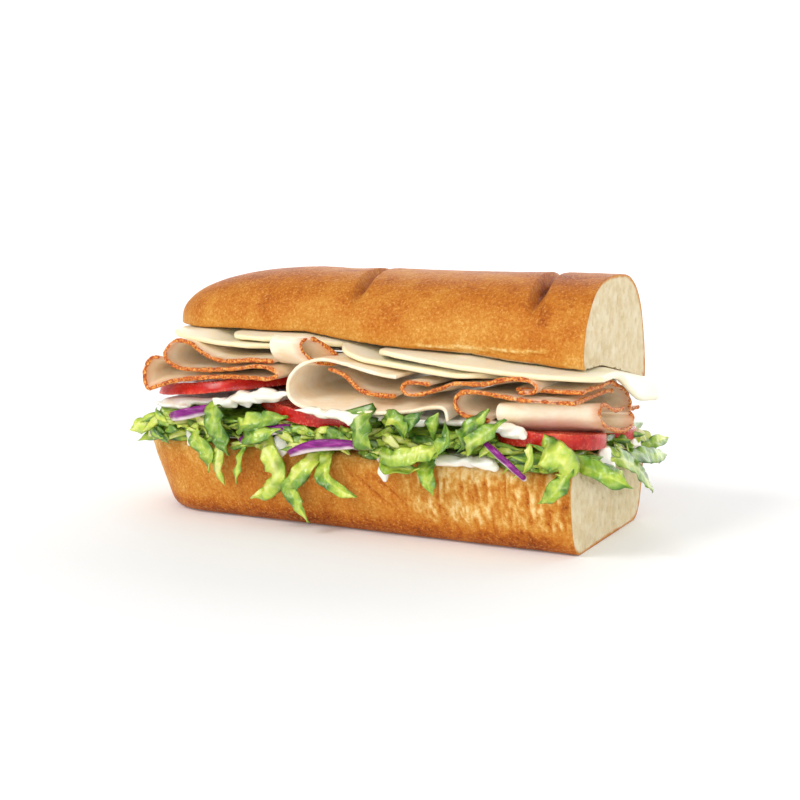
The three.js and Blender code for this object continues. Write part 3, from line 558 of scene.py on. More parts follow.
def lower_bread():
    x = places_along(straight_end=-40, even=190, tip=ROUND_X + 0.036, closing=52)
    round_start = ROUND_X + LOWER_ROUND_LENGTH
    width = np.maximum(rounding(x, round_start, LOWER_ROUND_LENGTH, 2.1), 0.04)
    endness = ramp(round_start + 6, ROUND_X, x)
    half = BASE_HALF_WIDTH * width
    corner = BASE_ROUNDING * width
    # Corners of a wall from the base up: how far out of the base's half width they lie, and their heights
    wall = [
        (-corner, 0), (-0.6 * corner, 0.08 * corner), (-0.2 * corner, 0.45 * corner), (0, corner),
        (0.9 * width, 0.5 * LOWER_TOP), (0.3 * width, LOWER_TOP - 4), (-1.2 * width, LOWER_TOP - 0.6),
    ]
    columns = []

    def add_corner(y, z):
        height = np.clip(z / LOWER_TOP, 0, 1)
        back = END_LEAN * (1 - 0.3 * height - 0.7 * height ** 2)
        lean = WALL_LEAN * z * width * np.sign(y)
        columns.append(xyz(x + endness * back, y + lean, z))

    add_corner(0, 0)
    for aside, height in wall:
        add_corner(-(half + aside), height)
    for share in (-0.86, -0.4, 0, 0.4, 0.86):
        columns.append(xyz(x, share * half, LOWER_TOP + LOWER_RISE * depth_share(share * half)))
    for aside, height in wall[::-1]:
        add_corner(half + aside, np.where(height > LOWER_TOP - 2, height + LOWER_RISE * 0.7, height))
    rings = finer(np.stack(columns, axis=1), 4)
    # Share of each point that lies on the cut top surface, whose corners are columns 8 to 12
    marks = np.array([float(8 <= k <= 12) for k in range(len(columns))])
    marks = finer(np.broadcast_to(marks[None, :, None], (1, len(columns), 3)), 2)[0, :, 0]
    count = rings.shape[1]
    top = ramp(0.5, 1, np.interp(np.arange(count), np.linspace(0, count, len(marks)), marks))
    top = np.broadcast_to(top, rings.shape[:2])
    normal = ring_normals(rings)
    z = rings[..., 2]
    side = (1 - top) * ramp(0.3, 3, z)
    # The wrinkled stretch of the walls towards the cut end
    zone = ramp(24, 34, rings[..., 0]) * ramp(78, 73, rings[..., 0]) * ramp(4, 9, z) * ramp(26, 21, z)
    zone = zone * np.where(rings[..., 1] < 0, 1, 0.6)
    folds = 1 - np.abs(rough(rings, (2.1, 30, 12), 21, 3)) * 2.2
    folds = np.clip(folds, 0, 1) ** 1.6
    grain = rough(rings, (1.6, 5, 5), 31, 3)
    push = side * (0.3 * noise(rings, 11, 41) + 0.14 * grain) + zone * side * (0.75 * folds - 0.4)
    pore = pores(rings, 1.7, 13) * top
    push = push - 0.7 * pore - 0.5 * top * (rough(rings, 6, 17) + 0.5)
    rings = rings + normal * push[..., None]
    rings[..., 2] = np.maximum(rings[..., 2], 0.02)
    # Browning: darker towards the base and paler near the top of the walls. Paler at the rounded end too,
    # partly a less browned crust and partly a painted highlight of strong light on that end.
    pale_and_lit_end = ramp(-56, -74, rings[..., 0]) * ramp(5, 14, z)
    browning_and_painted_light = 0.5 + 0.26 * ramp(8, 2.5, z) - 0.46 * pale_and_lit_end - 0.16 * ramp(17, 23, z)
    browning_and_painted_light = browning_and_painted_light + 0.1 * noise(rings, 14, 51)
    speckle = rough(rings, (0.9, 1.6, 1.6), 33, 2)
    crease = np.zeros(z.shape)
    for place, height, slope, half_height in CREASES:
        across = (rings[..., 0] - place - slope * (z - height)) / (0.8 + 0.3 * noise(rings, 5, 61))
        crease = np.maximum(crease, np.exp(-across ** 2) * ramp(half_height, 0, np.abs(z - height)))
    crease = crease * (rings[..., 1] < 0) * side
    rings = rings - normal * 0.7 * crease[..., None]
    browning_and_painted_light = browning_and_painted_light - zone * (0.5 * folds - 0.08) + 0.08 * grain + (0.12 + 0.28 * zone) * speckle
    # Darker in the slanting creases: painted shade.
    browning_and_painted_light = browning_and_painted_light + 0.2 * crease
    piece = bread_piece("lower_bread", rings, top, pore, browning_and_painted_light)
    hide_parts("bread_bottom")
    return piece


def score_depth(x, turn):
    """Depth of the scores at places along X, for turns from the front over the ridge to the back."""
    depth = np.zeros(np.broadcast(x, turn).shape)
    for place, half_width, deep in SCORES:
        away = x - place - SCORE_SLANT * np.cos(turn)
        away = np.where(away < 0, -1.9 * away, 0.8 * away) / half_width
        depth = np.maximum(depth, deep * np.clip(1 - away, 0, 1) ** 0.85)
    return depth * ramp(0.3, 0.95, np.sin(turn))


def upper_bread():
    left = UPPER_ROUND_X
    spots = [places_along(straight_end=-24, even=150, tip=left, closing=60)]
    for place, half_width, _ in SCORES:
        spots.append(np.linspace(place - 1.8 * half_width, place + 1.8 * half_width, 26))
    x = np.unique(np.concatenate(spots))[::-1]
    x = x[np.concatenate([[True], np.diff(x) < -0.1])]
    X, A = grid(x, np.linspace(0, math.pi, 160))
    plan = np.maximum(rounding(X, left + UPPER_ROUND_PLAN, UPPER_ROUND_PLAN + 0.2, 2), 0.03)
    rise = np.maximum(rounding(X, left + UPPER_ROUND_LENGTH, UPPER_ROUND_LENGTH + 0.2, 2.3), 0.03)
    half = UPPER_HALF_WIDTH * plan
    across = signed_power(np.cos(A), 2 / FRONT_SQUARENESS)
    y = UPPER_MIDDLE_Y - half * across
    up = np.sin(A).clip(0, 1) ** (2 / np.where(A < math.pi / 2, FRONT_SQUARENESS, BACK_SQUARENESS))

    def bottom(place):
        return underside(X) - UPPER_DROP * depth_share(place)

    base = mix(bottom(UPPER_MIDDLE_Y - half), bottom(UPPER_MIDDLE_Y + half), (1 - across) / 2)
    base = base - 0.35 * (1 - up)
    top = bottom(UPPER_MIDDLE_Y) + (RIDGE - bottom(UPPER_MIDDLE_Y)) * rise
    dip = score_depth(X, A)
    dome = xyz(X, y + dip * 0.5 * across, mix(base, top, up) - dip * up)
    flat_x, share = grid(x, np.linspace(0.97, -0.97, 50))
    flat_y = UPPER_MIDDLE_Y + share * half[:, :1]
    flat = xyz(flat_x, flat_y, underside(flat_x) - UPPER_DROP * depth_share(flat_y))
    rings = np.concatenate([dome, flat], axis=1)
    crumb = np.concatenate([np.zeros(A.shape), ramp(1, 0.93, np.abs(share))], axis=1)
    dips = np.concatenate([dip, 0 * flat_x], axis=1)
    for _ in range(3):
        rings = blurred(rings, 1)
    normal = ring_normals(rings)
    deep = np.clip(dips / 5, 0, 1)
    z = rings[..., 2]
    above = z - underside(rings[..., 0])
    # A torn lip along the front towards the cut end, with a smooth band under it
    front = ramp(-8, -16, rings[..., 1]) * (1 - crumb)
    ragged = 0.9 * noise(rings * (1, 0, 0), 3.2, 61) + 0.5 * noise(rings * (1, 0, 0), 1.1, 62)
    lip_zone = ramp(22, 29, rings[..., 0]) * ramp(68, 63, rings[..., 0]) * front
    over_lip = z - LIP_HEIGHT - 0.35 * ragged
    lip = np.exp(-(over_lip / 0.42) ** 2) * lip_zone
    push = (1 - crumb) * (0.35 * noise(rings, 13, 71) + 0.06 * rough(rings, 1.6, 75, 2))
    push = push + 0.8 * lip * (1 + 0.5 * ragged)
    push = push + deep * 0.2 * rough(rings, 1.6, 81, 3) - 0.35 * lip_zone * ramp(-0.2, -0.9, over_lip)
    pore = pores(rings, 1.7, 15) * crumb
    rings = rings + normal * (push - 0.7 * pore)[..., None]
    browning_and_painted_light = 0.45 + 0.2 * ramp(0, 18, above) + 0.12 * noise(rings, 12, 91) + 0.08 * noise(rings, 4, 93)
    # Darker along the bottom of each score, which is painted shade, and a little paler partway down its
    # sides.
    browning_and_painted_light = browning_and_painted_light + 0.16 * ramp(0.72, 0.95, deep) - 0.08 * np.exp(-((deep - 0.3) / 0.2) ** 2)
    browning_and_painted_light = browning_and_painted_light - 0.44 * lip * (0.75 + 0.5 * noise(rings, 0.9, 95)) - 0.05 * ramp(5, 1, above) * front
    piece = bread_piece("upper_bread", rings, crumb, pore, browning_and_painted_light)
    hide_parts("bread_top")
    return piece


# Cheese

CHEESE = [
    dict(left=-57, right=-9, lowered=[(-57, 1.8), (-42, 1.8), (-35, 4.5), (-9, 4.5)],
         front=[(-57, -27), (-46, -31), (-24, -33.5), (-15, -28), (-9, -27)],
         edge=[(-57, 54.6), (-48, 53.6), (-24, 52.9), (-9, 53.2)]),
    dict(left=-34, right=3, lowered=[(-34, 1.8), (3, 1.8)],
         front=[(-34, -30), (-20, -31), (-10, -27.5), (3, -27)],
         edge=[(-34, 55.2), (-14, 54.8), (3, 54)]),
    dict(left=2.5, right=54, lowered=[(2.5, 1.8), (10, 3), (18, 4.5), (54, 4.5)],
         front=[(2.5, -30), (12, -32.5), (40, -33.5), (54, -31)], corner=7,
         edge=[(2.5, 54.8), (8, 52.4), (14, 50.9), (29, 49.2), (43, 48), (54, 48.4)]),
    dict(left=15, right=82, lowered=[(15, 1.8), (82, 1.8)],
         front=[(15, -31), (24, -33.5), (60, -34), (82, -32)], back=35, hang=12, corner=7,
         edge=[(15, 53.4), (22, 52.6), (34, 51.2), (44, 50.2), (67, 49), (82, 48.6)]),
]


def cheese_slice(number, left, right, lowered, edge, front, back=32, hang=0, corner=6):
    length = right - left
    u, v = grid(stations(length, 1.2, 1), stations(66, 1.2, 1) ** 1.25)
    x = mix(left, right, u)
    from_end = np.minimum(u, 1 - u) * length
    corner_cut = corner * (1 - np.minimum(from_end / corner, 1)) ** 2
    y = mix(along_stations(front)(x) + corner_cut, back - corner_cut * 1.5, v)
    flat = underside(x) - along_stations(lowered)(x)
    bend = np.clip((-24 - y) / 8, 0, 1) ** 1.4
    end_bend = hang * ramp(CUT_X + 1, CUT_X + 9, x) * ramp(-16, 12, y)
    z = mix(flat, along_stations(edge)(x), bend) - end_bend
    flutter = noise(xyz(x), 15, number) * ramp(-20, -33, y)
    middle = settle(x, y, z + 0.25 + 0.35 * flutter)
    reach = v * (back - front[0][1])
    thickness = CHEESE_THICKNESS * (1 - 0.25 * ramp(5, 0, reach))
    # Yellower along the front edge: partly the cut edge's own colour, partly painted shade.
    edge_colour_and_shade = 0.5 * ramp(1.5, 0.2, reach) + 0.15 * ramp(5, 1, reach)
    slice_ = sheet(middle, thickness, {"edge": edge_colour_and_shade}, 0.06 * noise(middle, 2.4, 5))
    piece = make_piece(f"cheese_slice_{number}", *slice_, CHEESE_LOOK, "cheese")
    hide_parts(f"cheese_{number}")
    return piece


# Turkey

RIM_WIDTH = 0.82
# Each slice is a path of (x, height at the front, height inside); its rim shows between two shares of it
FOLDED_SLICES = [
    # The slice at the rounded end: a flap, a turn back, and a loop above it
    dict(front=-36.5, rim=(-1, 2), path=[
        (-52.2, 49, 47), (-55.9, 48.2, 46.4), (-58.6, 43.7, 44.8), (-57.2, 39, 43.2), (-53, 40, 43.2),
        (-47.4, 41.8, 43.4), (-38.4, 43.2, 43.8), (-29, 44, 44.2), (-20, 44.4, 44.5), (-13.4, 44.6, 44.7),
        (-11, 45.9, 45.9), (-13.2, 47.4, 47.6), (-18, 47.9, 47.9), (-24, 46.9, 47.6), (-31.4, 46, 46.6),
        (-40.4, 45.4, 45.6), (-46.9, 46, 45.9), (-50.4, 48.4, 47.4), (-50, 51.4, 50), (-46.7, 54, 52.4),
        (-42.4, 53.2, 52.4), (-38.4, 50.6, 51.3), (-33.4, 49, 49.8), (-27.4, 48.8, 49.4), (-20, 49.6, 49.6),
        (-13, 49.4, 49.6)]),
    # The wide fold in the middle, open to the right
    dict(front=-36, rim=(2, 2), path=[
        (27, 47.2, 47.5), (21.5, 47.6, 48.3), (15, 48.6, 49.2), (9, 49.8, 50.2), (2, 50.6, 50.8),
        (-4, 48.8, 49.2), (-7.7, 44.6, 44.8), (-7.8, 39.4, 41), (-4.5, 36.8, 39.8), (3, 36.2, 39.5),
        (12, 36.3, 39.4), (21.5, 36.8, 39.4), (31, 37.8, 39.6), (37, 39.2, 39.8), (40.4, 39, 39),
        (41.6, 35.8, 36.8)]),
    # The slice lying in that fold
    dict(front=-34, rim=(-1, 2), path=[
        (3.5, 48, 46.6), (8, 46.4, 45), (11.2, 44.2, 43.6), (14.5, 42.4, 42.8), (19, 41.7, 42.3),
        (25, 41.4, 42.2)]),
    # The ruffled slice right of the middle
    dict(front=-34.5, rim=(-1, 2), path=[
        (36.2, 45.5, 45.6), (32.6, 45.8, 45.8), (29.2, 45.6, 45.4), (27.9, 44, 44.4), (29.6, 42.5, 43.2),
        (33.5, 42.7, 43), (38.5, 44.4, 43.6), (42.7, 46, 44.8), (47.8, 46.2, 45.6), (52.4, 46.6, 45.9),
        (56.4, 47.9, 46.4), (60.6, 48.6, 47.2), (64.6, 48.3, 47.6), (66.9, 46.9, 46.8), (66.4, 45.3, 45.7),
        (62, 44.9, 45.2)]),
    # The slice below it, turned down and back at its left
    dict(front=-35.5, back=-4, end_rim=True, rim=(-1, 2), path=[
        (78, 43, 43), (70, 43.2, 43.2), (64, 43.2, 43.2), (58.5, 43.7, 43.3), (53, 44.2, 43.4),
        (48.6, 44.3, 43.3), (45.2, 43.8, 42.6), (43.6, 41.8, 41.2), (44, 39.4, 39.8), (46.2, 37.8, 38.8),
        (50, 37.2, 38.2), (54.5, 37, 38)]),
]


def from_rim(length, inner):
    """Places along a length: close behind the rim, then the inner ones, and close again at the far edge."""
    rim = np.concatenate([[0, 0.04, 0.13, 0.27, 0.45, 0.65], np.arange(0.9, 2.6, 0.35)])
    return np.concatenate([rim, inner, length - np.array([0.4, 0.2, 0.08, 0])])


def turkey_sheet(name, node, middle, rim_reach, rim_on):
    """A slice with a grainy spiced rim: rim_reach is how far each point lies from the rim."""
    ragged = rim_reach + 0.5 * noise(middle, 1.4, 7) + 0.3 * noise(middle, 5, 8)
    rim = ramp(RIM_WIDTH, RIM_WIDTH * 0.45, ragged) * rim_on
    # A warm orange band behind the rim: partly spice stain, partly painted warm shade between the folds.
    stain = 0.55 * ramp(RIM_WIDTH * 5, RIM_WIDTH * 0.6, ragged) * rim_on * (1 - rim)
    grains = rim * (0.16 * noise(middle, 0.75, 9) + 0.12 * noise(middle, 0.4, 10) + 0.08)
    relief = grains + 0.05 * noise(middle, 2.2, 12)
    slice_ = sheet(middle, TURKEY_THICKNESS, {"rim": rim, "stain": stain}, relief)
    piece = make_piece(name, *slice_, TURKEY_LOOK, "turkey")
    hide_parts(node)
    return piece


def folded_slice(number, path, front=TURKEY_FRONT, back=TURKEY_BACK, rim=(-1, 2), end_rim=False):
    """A slice folded along X, which runs from the front to the back."""
    curve = curve_through(path)
    depth = back - front
    inner = [*np.linspace(2.9, 16, 12), *np.linspace(18, depth - EDGE_ROUNDING, 10)]
    u, v = grid(stations(curve.length, 0.5), from_rim(depth, inner) / depth)
    p = curve(u)
    wander = 1.2 * np.sin(0.16 * p[..., 0] + 2.1 * u)
    y = mix(front + wander, back - 2 * wander, v)
    y = y + 0.25 * noise(xyz(u) * curve.length, 1.6, number) * ramp(0.06, 0, v)
    inward = 1 - (1 - np.clip((y - front - wander) / MOUTH_DEPTH, 0, 1)) ** 2
    sway = 0.3 * noise(xyz(p[..., 0], y), 9, 20 + number) * ramp(0, 0.2, v)
    middle = settle(p[..., 0], y, mix(p[..., 1], p[..., 2], inward) + sway)
    rim_on = ramp(rim[0] - 0.03, rim[0] + 0.03, u) * ramp(rim[1] + 0.03, rim[1] - 0.03, u)
    reach = np.minimum(v * depth, u * curve.length) if end_rim else v * depth
    return turkey_sheet(f"turkey_slice_{number}", f"turkey_fold_{number}", middle, reach, rim_on)


# Each slice is a path of (y, height), and runs along X from left to right, where its rim shows
ROLLED_SLICES = [
    # The flattened roll that ends below the second slice of cheese
    dict(left=-13.5, right=-1.8, slant=0.8, path=[
        (-35.7, 56.5), (-36.9, 55), (-36.6, 52.8), (-34.4, 50.4), (-31.4, 48.9), (-29, 48.9), (-28.2, 50.4),
        (-30, 52.8), (-32.6, 55.2), (-34.5, 56.5)]),
    # The roll at the cut end
    dict(left=56, right=81, shift=0.5, path=[
        (-3, 38.4), (-8, 38), (-13, 39), (-18.5, 40.9), (-22.3, 40.7), (-23, 38.6), (-20, 36.1),
        (-14.4, 33.9), (-7.4, 32.3), (0, 31.6), (5, 32.2), (6.6, 34.6), (3.6, 36.4)]),
    # The slice over it, folded down behind it
    dict(left=60, right=79, rim_side=True, path=[
        (-31.5, 45.2), (-26, 45.4), (-20, 45.6), (-10, 45.6), (0, 44.8), (5.5, 43.2), (9.2, 40.6), (9.6, 38),
        (8, 36)]),
    # The slice behind them, folded to the back
    dict(left=46, right=74.5, path=[
        (32, 42.6), (24, 42.8), (17.5, 42.4), (14, 40.4), (14.6, 37.8), (19, 36), (26, 35.2), (32, 35.4)]),
]


def rolled_slice(number, path, left, right, slant=0, shift=0, rim_side=False):
    """A slice rolled or folded along Y, which runs along X."""
    section = curve_through(path)
    length = right - left
    inner = np.linspace(2.9, length - EDGE_ROUNDING, max(5, round(length / 1.4)))
    v_shares = 1 - from_rim(length, inner)[::-1] / length
    u, v = grid(stations(section.length, 0.5), v_shares)
    p = section(u)
    end = right + slant * (p[..., 0] - path[0][0])
    end = end + 0.25 * noise(xyz(u * section.length), 1.6, number)
    x = mix(left, end, v)
    sway = 0.25 * noise(xyz(x, p[..., 0]), 8, 30 + number)
    middle = settle(x, p[..., 0] + shift * (x - right), p[..., 1] + sway)
    reach = np.minimum(end - x, u * section.length) if rim_side else end - x
    return turkey_sheet(f"turkey_curl_{number}", f"turkey_roll_{number}", middle, reach, 1)


# Tomato

TOMATOES = [
    dict(middle=(-38.5, -9.5, 40.2), radius=26.4, thick=3.4, along=0.12, flare=1.4, flesh=0.0),
    dict(middle=(-5, -13, 33.8), radius=23, thick=4, along=-0.14, flesh=0.5),
    dict(middle=(64.6, -18, 30.7), radius=15.6, thick=4.1, across=-0.1, flesh=0.25),
    dict(middle=(61, 14, 27.4), radius=18, thick=4, across=-0.02, flesh=0.3),
]


def tomato_slice(number, middle, radius, thick, along=0, across=0, flare=0, flesh=0.0):
    corner = 0.6
    reach = radius - corner
    angle = np.linspace(-math.pi / 2, math.pi / 2, 11)
    rim_level = (thick / 2 - corner) * np.sign(angle) + corner * np.sin(angle)
    flat = np.linspace(0.4, reach, 15, endpoint=False)
    r = np.concatenate([flat, reach + corner * np.cos(angle), flat[::-1]])
    level = np.concatenate([0 * flat - thick / 2, rim_level, 0 * flat + thick / 2])
    R, T = grid(r, np.linspace(0, TAU, 190, endpoint=False))
    level = np.broadcast_to(level[:, None], R.shape)
    wobble = 1 + 0.03 * np.sin(2 * T + number) + 0.015 * np.sin(5 * T + 2 * number)
    reached = R * (wobble - flare * level / thick / radius)
    x = middle[0] + reached * np.cos(T)
    y = middle[1] + reached * np.sin(T)
    spot = xyz(x, y, level)
    grain = 0.22 * rough(spot, 2.2, 3 * number, 3) * ramp(0.4, 1.4, np.abs(level) + 0.4)
    tilt = along * (x - middle[0]) + across * (y - middle[1])
    points = settle(x, y, middle[2] + tilt + level * (1 + 0.12 * noise(spot, 4, number)) + grain)
    skin = ramp(reach - 0.2, reach + 0.4, R) * ramp(thick / 2, thick / 2 - 0.7, np.abs(level))
    shown = {"flesh": np.clip(1 - skin * (1 - flesh * ramp(-0.2, 0.4, noise(spot, 6, 9))), 0, 1)}
    piece = make_piece(f"tomato_slice_{number}", points, loft(points), shown, TOMATO_LOOK, "tomato")
    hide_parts(f"tomato_{number}")
    return piece


# Red onion

ONIONS = [
    dict(start=(-52, -33, 30.2), over=(-44, -37.6, 32.2), end=(-34, -34, 34.6)),
    dict(start=(-25, -35.5, 25.4), over=(-18, -37.6, 28.4), end=(-8, -34.5, 30.8), wide=3),
    dict(start=(-7.5, -36.6, 23.4), over=(2, -38.6, 26.6), end=(14, -36.2, 27.6)),
    dict(start=(53, -36.2, 31.6), over=(59, -38.4, 28), end=(65.5, -37.4, 22.6), wide=2.2),
]


def onion_strip(number, start, over, end, wide=3.4):
    path = curve_through([start, over, end])
    u, v = grid(stations(path.length, 0.4), stations(wide, 0.16, 0.5))
    width = wide * (0.45 + 0.55 * np.sin(math.pi * np.clip(u, 0.02, 0.98)) ** 0.5)
    middle = path(u) + xyz(0, (v - 0.5) * 0.7 - 0.35 * np.sin(math.pi * v), (0.5 - v) * width)
    flesh = {"flesh": ramp(0.5, 0.82, v + 0.06 * noise(middle, 2, number))}
    strip = sheet(middle, 1.7 - 0.5 * np.abs(v - 0.5), flesh, 0.05 * noise(middle, 1.5, 2))
    piece = make_piece(f"onion_strip_{number}", *strip, ONION_LOOK, "onion")
    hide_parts(f"onion_{number}")
    return piece


# Mayonnaise

LUMPS = 9
# Each layer, and the places and radii of the dollops that show along its edge
SAUCES = [
    dict(left=-56, right=-14, front=-33.8, back=26, low=33.4, high=35.2, rise=3.4, lobes=[
        ((-52, -31.5, 34), (6, 3.4, 2)), ((-30, -35, 36.2), (4, 3, 2.1)),
        ((-23.5, -35.6, 38.2), (5.6, 3, 2.9)), ((-15.5, -35.4, 39.4), (7.4, 3, 2.9))]),
    dict(left=-2, right=24, front=-34.6, back=-14, low=34, high=35.4, lobes=[
        ((0, -36.4, 36.2), (5, 2.2, 1.6)), ((7.5, -36.4, 35.6), (5.4, 2.4, 2)),
        ((13.5, -36.2, 34.4), (4.6, 2.4, 2.4))]),
    dict(left=22, right=56, front=-32, back=24, low=34.2, high=35.6, lobes=[
        ((30, -33, 34.6), (7, 2.6, 1.8)), ((54, -34, 35.2), (5.4, 3, 2.2)),
        ((60.5, -34.2, 34.2), (5, 2.8, 2.6))]),
    dict(left=-50, right=77, front=-31.6, back=27, low=24.5, high=25.6, lobes=[
        ((-42, -33.4, 24.2), (3.2, 3.2, 3.4)), ((-12, -34, 25.4), (3, 3.4, 4.6)),
        ((23, -36.2, 20.6), (2, 1.8, 3.6)), ((23.4, -34, 24.4), (3.6, 3.4, 2.4)),
        ((42, -33.8, 24.8), (6.6, 3.4, 2.2)), ((52, -33.6, 25.2), (5.4, 3.4, 2.6)),
        ((78.6, -12, 25), (3, 6, 4.6)), ((78.6, 14, 24.6), (2.6, 6, 3))]),
]


def lobe(centre, radii, seed):
    """A lump with an uneven outline, as points and faces."""
    rise, turn = grid(np.linspace(0.06, math.pi - 0.06, 20), np.linspace(0, TAU, 32, endpoint=False))
    ball = xyz(np.sin(rise) * np.cos(turn), np.sin(rise) * np.sin(turn), -np.cos(rise))
    uneven = 1 + 0.25 * noise(ball, 0.9, seed) + 0.12 * noise(ball, 0.45, seed + 1)
    rings = np.array(centre) + ball * np.array(radii) * uneven[..., None]
    return rings.reshape(-1, 3), loft(rings)


def dollop(centre, radii, random):
    """Several lumps over each other, where the sauce was spooned on, within the radii."""
    pick = random.uniform
    lumps = [(centre, np.array(radii) * (0.7, 0.8, 0.66))]
    for _ in range(LUMPS):
        away = np.array([pick(-0.8, 0.8), pick(-0.45, 0.1), pick(-0.6, 0.45)])
        lumps.append((np.array(centre) + away * radii, np.array(radii) * pick(0.2, 0.5, 3)))
    return [lobe(place, size, 7 * k + 3) for k, (place, size) in enumerate(lumps)]


def sauce_layer(number, left, right, front, back, low, high, lobes, rise=0):
    random = np.random.default_rng(70 + number)
    u, v = grid(np.linspace(0, 1, 90), np.linspace(0, 1, 50))
    x = mix(left, right, u)
    y = mix(front + 1 + 1.4 * noise(xyz(x), 6, number), back, v)
    middle = settle(x, y, (low + high) / 2 + rise * u + 0.2 * np.sin(9 * u + 5 * v))
    points, faces, _ = sheet(middle, (high - low) + 0.4, {})
    points, faces = [points], faces.tolist()
    start = len(points[0])
    for centre, radii in lobes:
        for more, quads in dollop(centre, radii, random):
            points.append(more)
            faces.extend([[i + start for i in quad] for quad in quads])
            start += len(more)
    name = f"sauce_{number}"
    piece = make_piece(name, np.concatenate(points), faces, {}, MAYONNAISE_LOOK, "mayonnaise")
    remesh(piece, 0.72 if right - left > 60 else 0.5, 2)
    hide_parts(f"mayonnaise_{number}")
    return piece


# Lettuce

FORWARD = (0, -1, 0.25)
BACKWARD = (0, 1, 0.25)
TOWARDS_CUT = (1, -0.4, 0.4)
UPWARD = (0, 0, 1)
# Large shreds as width, tone from 0 for pale to 1 for dark, and path
FRONT_SHREDS = [
    (6, 0.45, [(-46, -29, 30), (-52, -33, 30.5), (-59, -35, 28), (-66, -34, 25.5)]),
    (4, 0.5, [(-47, -28, 28), (-56, -32, 25.6), (-64, -33, 22)]),
    (7, 0.6, [(-32, -29, 33), (-32.5, -37, 35), (-30.5, -39, 29), (-27.5, -38, 21)]),
    (5, 0.5, [(-43, -30, 29), (-40, -37.5, 26), (-35, -38, 21), (-35, -37.4, 15.5)]),
    (3.4, 0.45, [(-34, -31, 27), (-31, -38.6, 21.5), (-32.4, -37.6, 16), (-30, -37.4, 12)]),
    (3, 0.5, [(-25, -31, 29), (-24, -38.4, 20), (-25.4, -37.6, 13)]),
    (5, 0.6, [(-28, -30, 27), (-23, -37.8, 30), (-15, -38, 32.5), (-8, -35, 33.4)]),
    (4.4, 0.55, [(-27, -30, 25.8), (-20, -39.6, 27.6), (-9, -39, 30.6)]),
    (6.4, 0.3, [(-20, -30, 28), (-14, -39, 24), (-10.5, -39, 17.6), (-15, -38, 12), (-21, -37, 9)]),
    (5.4, 0.35, [(2, -30, 28), (-3, -38.6, 18), (-7, -38, 13.4), (-4, -37.6, 8.6), (-1, -37, 3.6)]),
    (4, 0.35, [(3, -30, 27), (5, -38.4, 18), (10, -38, 14.4), (15, -37, 12.6)]),
    (6, 0.7, [(-2, -29, 30), (4, -36, 29.4), (12, -36, 28.6)]),
    (8, 0.45, [(16, -29, 31), (15.6, -38, 35.6), (17.6, -40, 30), (20.6, -38.6, 26.8)]),
    (5, 0.6, [(22, -30, 31), (25, -37.8, 36), (29, -39, 35), (30, -37.6, 30)]),
    (4, 0.7, [(29, -30, 31), (31, -38.6, 34.6), (35.4, -37.6, 38.4)]),
    (4.4, 0.7, [(35, -30, 30), (38.4, -39, 34.6), (40.4, -38.4, 38.6)]),
    (5, 0.45, [(17, -30, 26), (27, -40.6, 25.6), (37, -40.4, 28), (45, -38, 31)]),
    (5, 0.4, [(22, -31, 27.4), (26, -38.4, 22.4), (35, -38.6, 22.6)]),
    (5, 0.35, [(35, -30, 27), (37, -39, 21.6), (38.6, -38, 15.6)]),
    (5.4, 0.7, [(44, -30, 29), (47, -38.4, 32.6), (51.6, -39, 37), (55, -37.6, 40.6)]),
    (4.4, 0.6, [(46, -30, 28), (50, -39.6, 31), (56, -39.4, 35), (60, -37.6, 38)]),
    (4, 0.65, [(37, -31, 29), (41, -41, 28.6), (44.6, -41, 32), (42.4, -38, 36)]),
    (2.4, 0.5, [(64, -31, 28), (66.6, -38, 31), (67, -37.6, 28), (64.6, -36.4, 23.6)]),
    (8, 0.5, [(67, -29, 28), (71, -37.4, 30.6), (76, -38, 27), (75, -36.6, 23)]),
    (5, 0.4, [(74, -29, 27), (77, -37, 24), (74, -37.4, 19.6), (69, -36.4, 16)]),
    (5, 0.55, [(71, -27, 28), (80, -30, 25.6), (87, -30, 23), (92, -28, 20.6)]),
]
END_SHREDS = [
    (6, 0.55, [(70, -12, 28), (80, -8, 25), (83, 3, 20), (83, 16, 13), (82, 23, 9)]),
    (5, 0.6, [(70, -2, 27), (80, 2, 24), (84, 14, 22.6), (84, 30, 19.6)]),
    (4.6, 0.6, [(70, -20, 27), (80, -22, 23.4), (82, -12, 20.6), (82, -3, 17)]),
    (4, 0.5, [(70, 12, 27), (80, 15, 23), (83, 22, 24.6), (84, 31, 24.6)]),
]
BACK_SHREDS = 11
ROUND_SHREDS = 5
ROUND_UPWARD = (0.2, 0, 1)
# Small shreds over the heap's front, cut end, back and rounded end
FRONT_FILL = 190
END_FILL = 26
BACK_FILL = 80
ROUND_FILL = 70
FILL_TONES = (0.1, 0.95)
FILL_MESH = dict(steps=17, rows=6)
# Stretches along the front, as left, right and top, where only sauce shows
SAUCE_SHOWS = [(-46, -38, 27), (-16, -8, 29), (20, 26, 26), (36, 60, 27.5)]


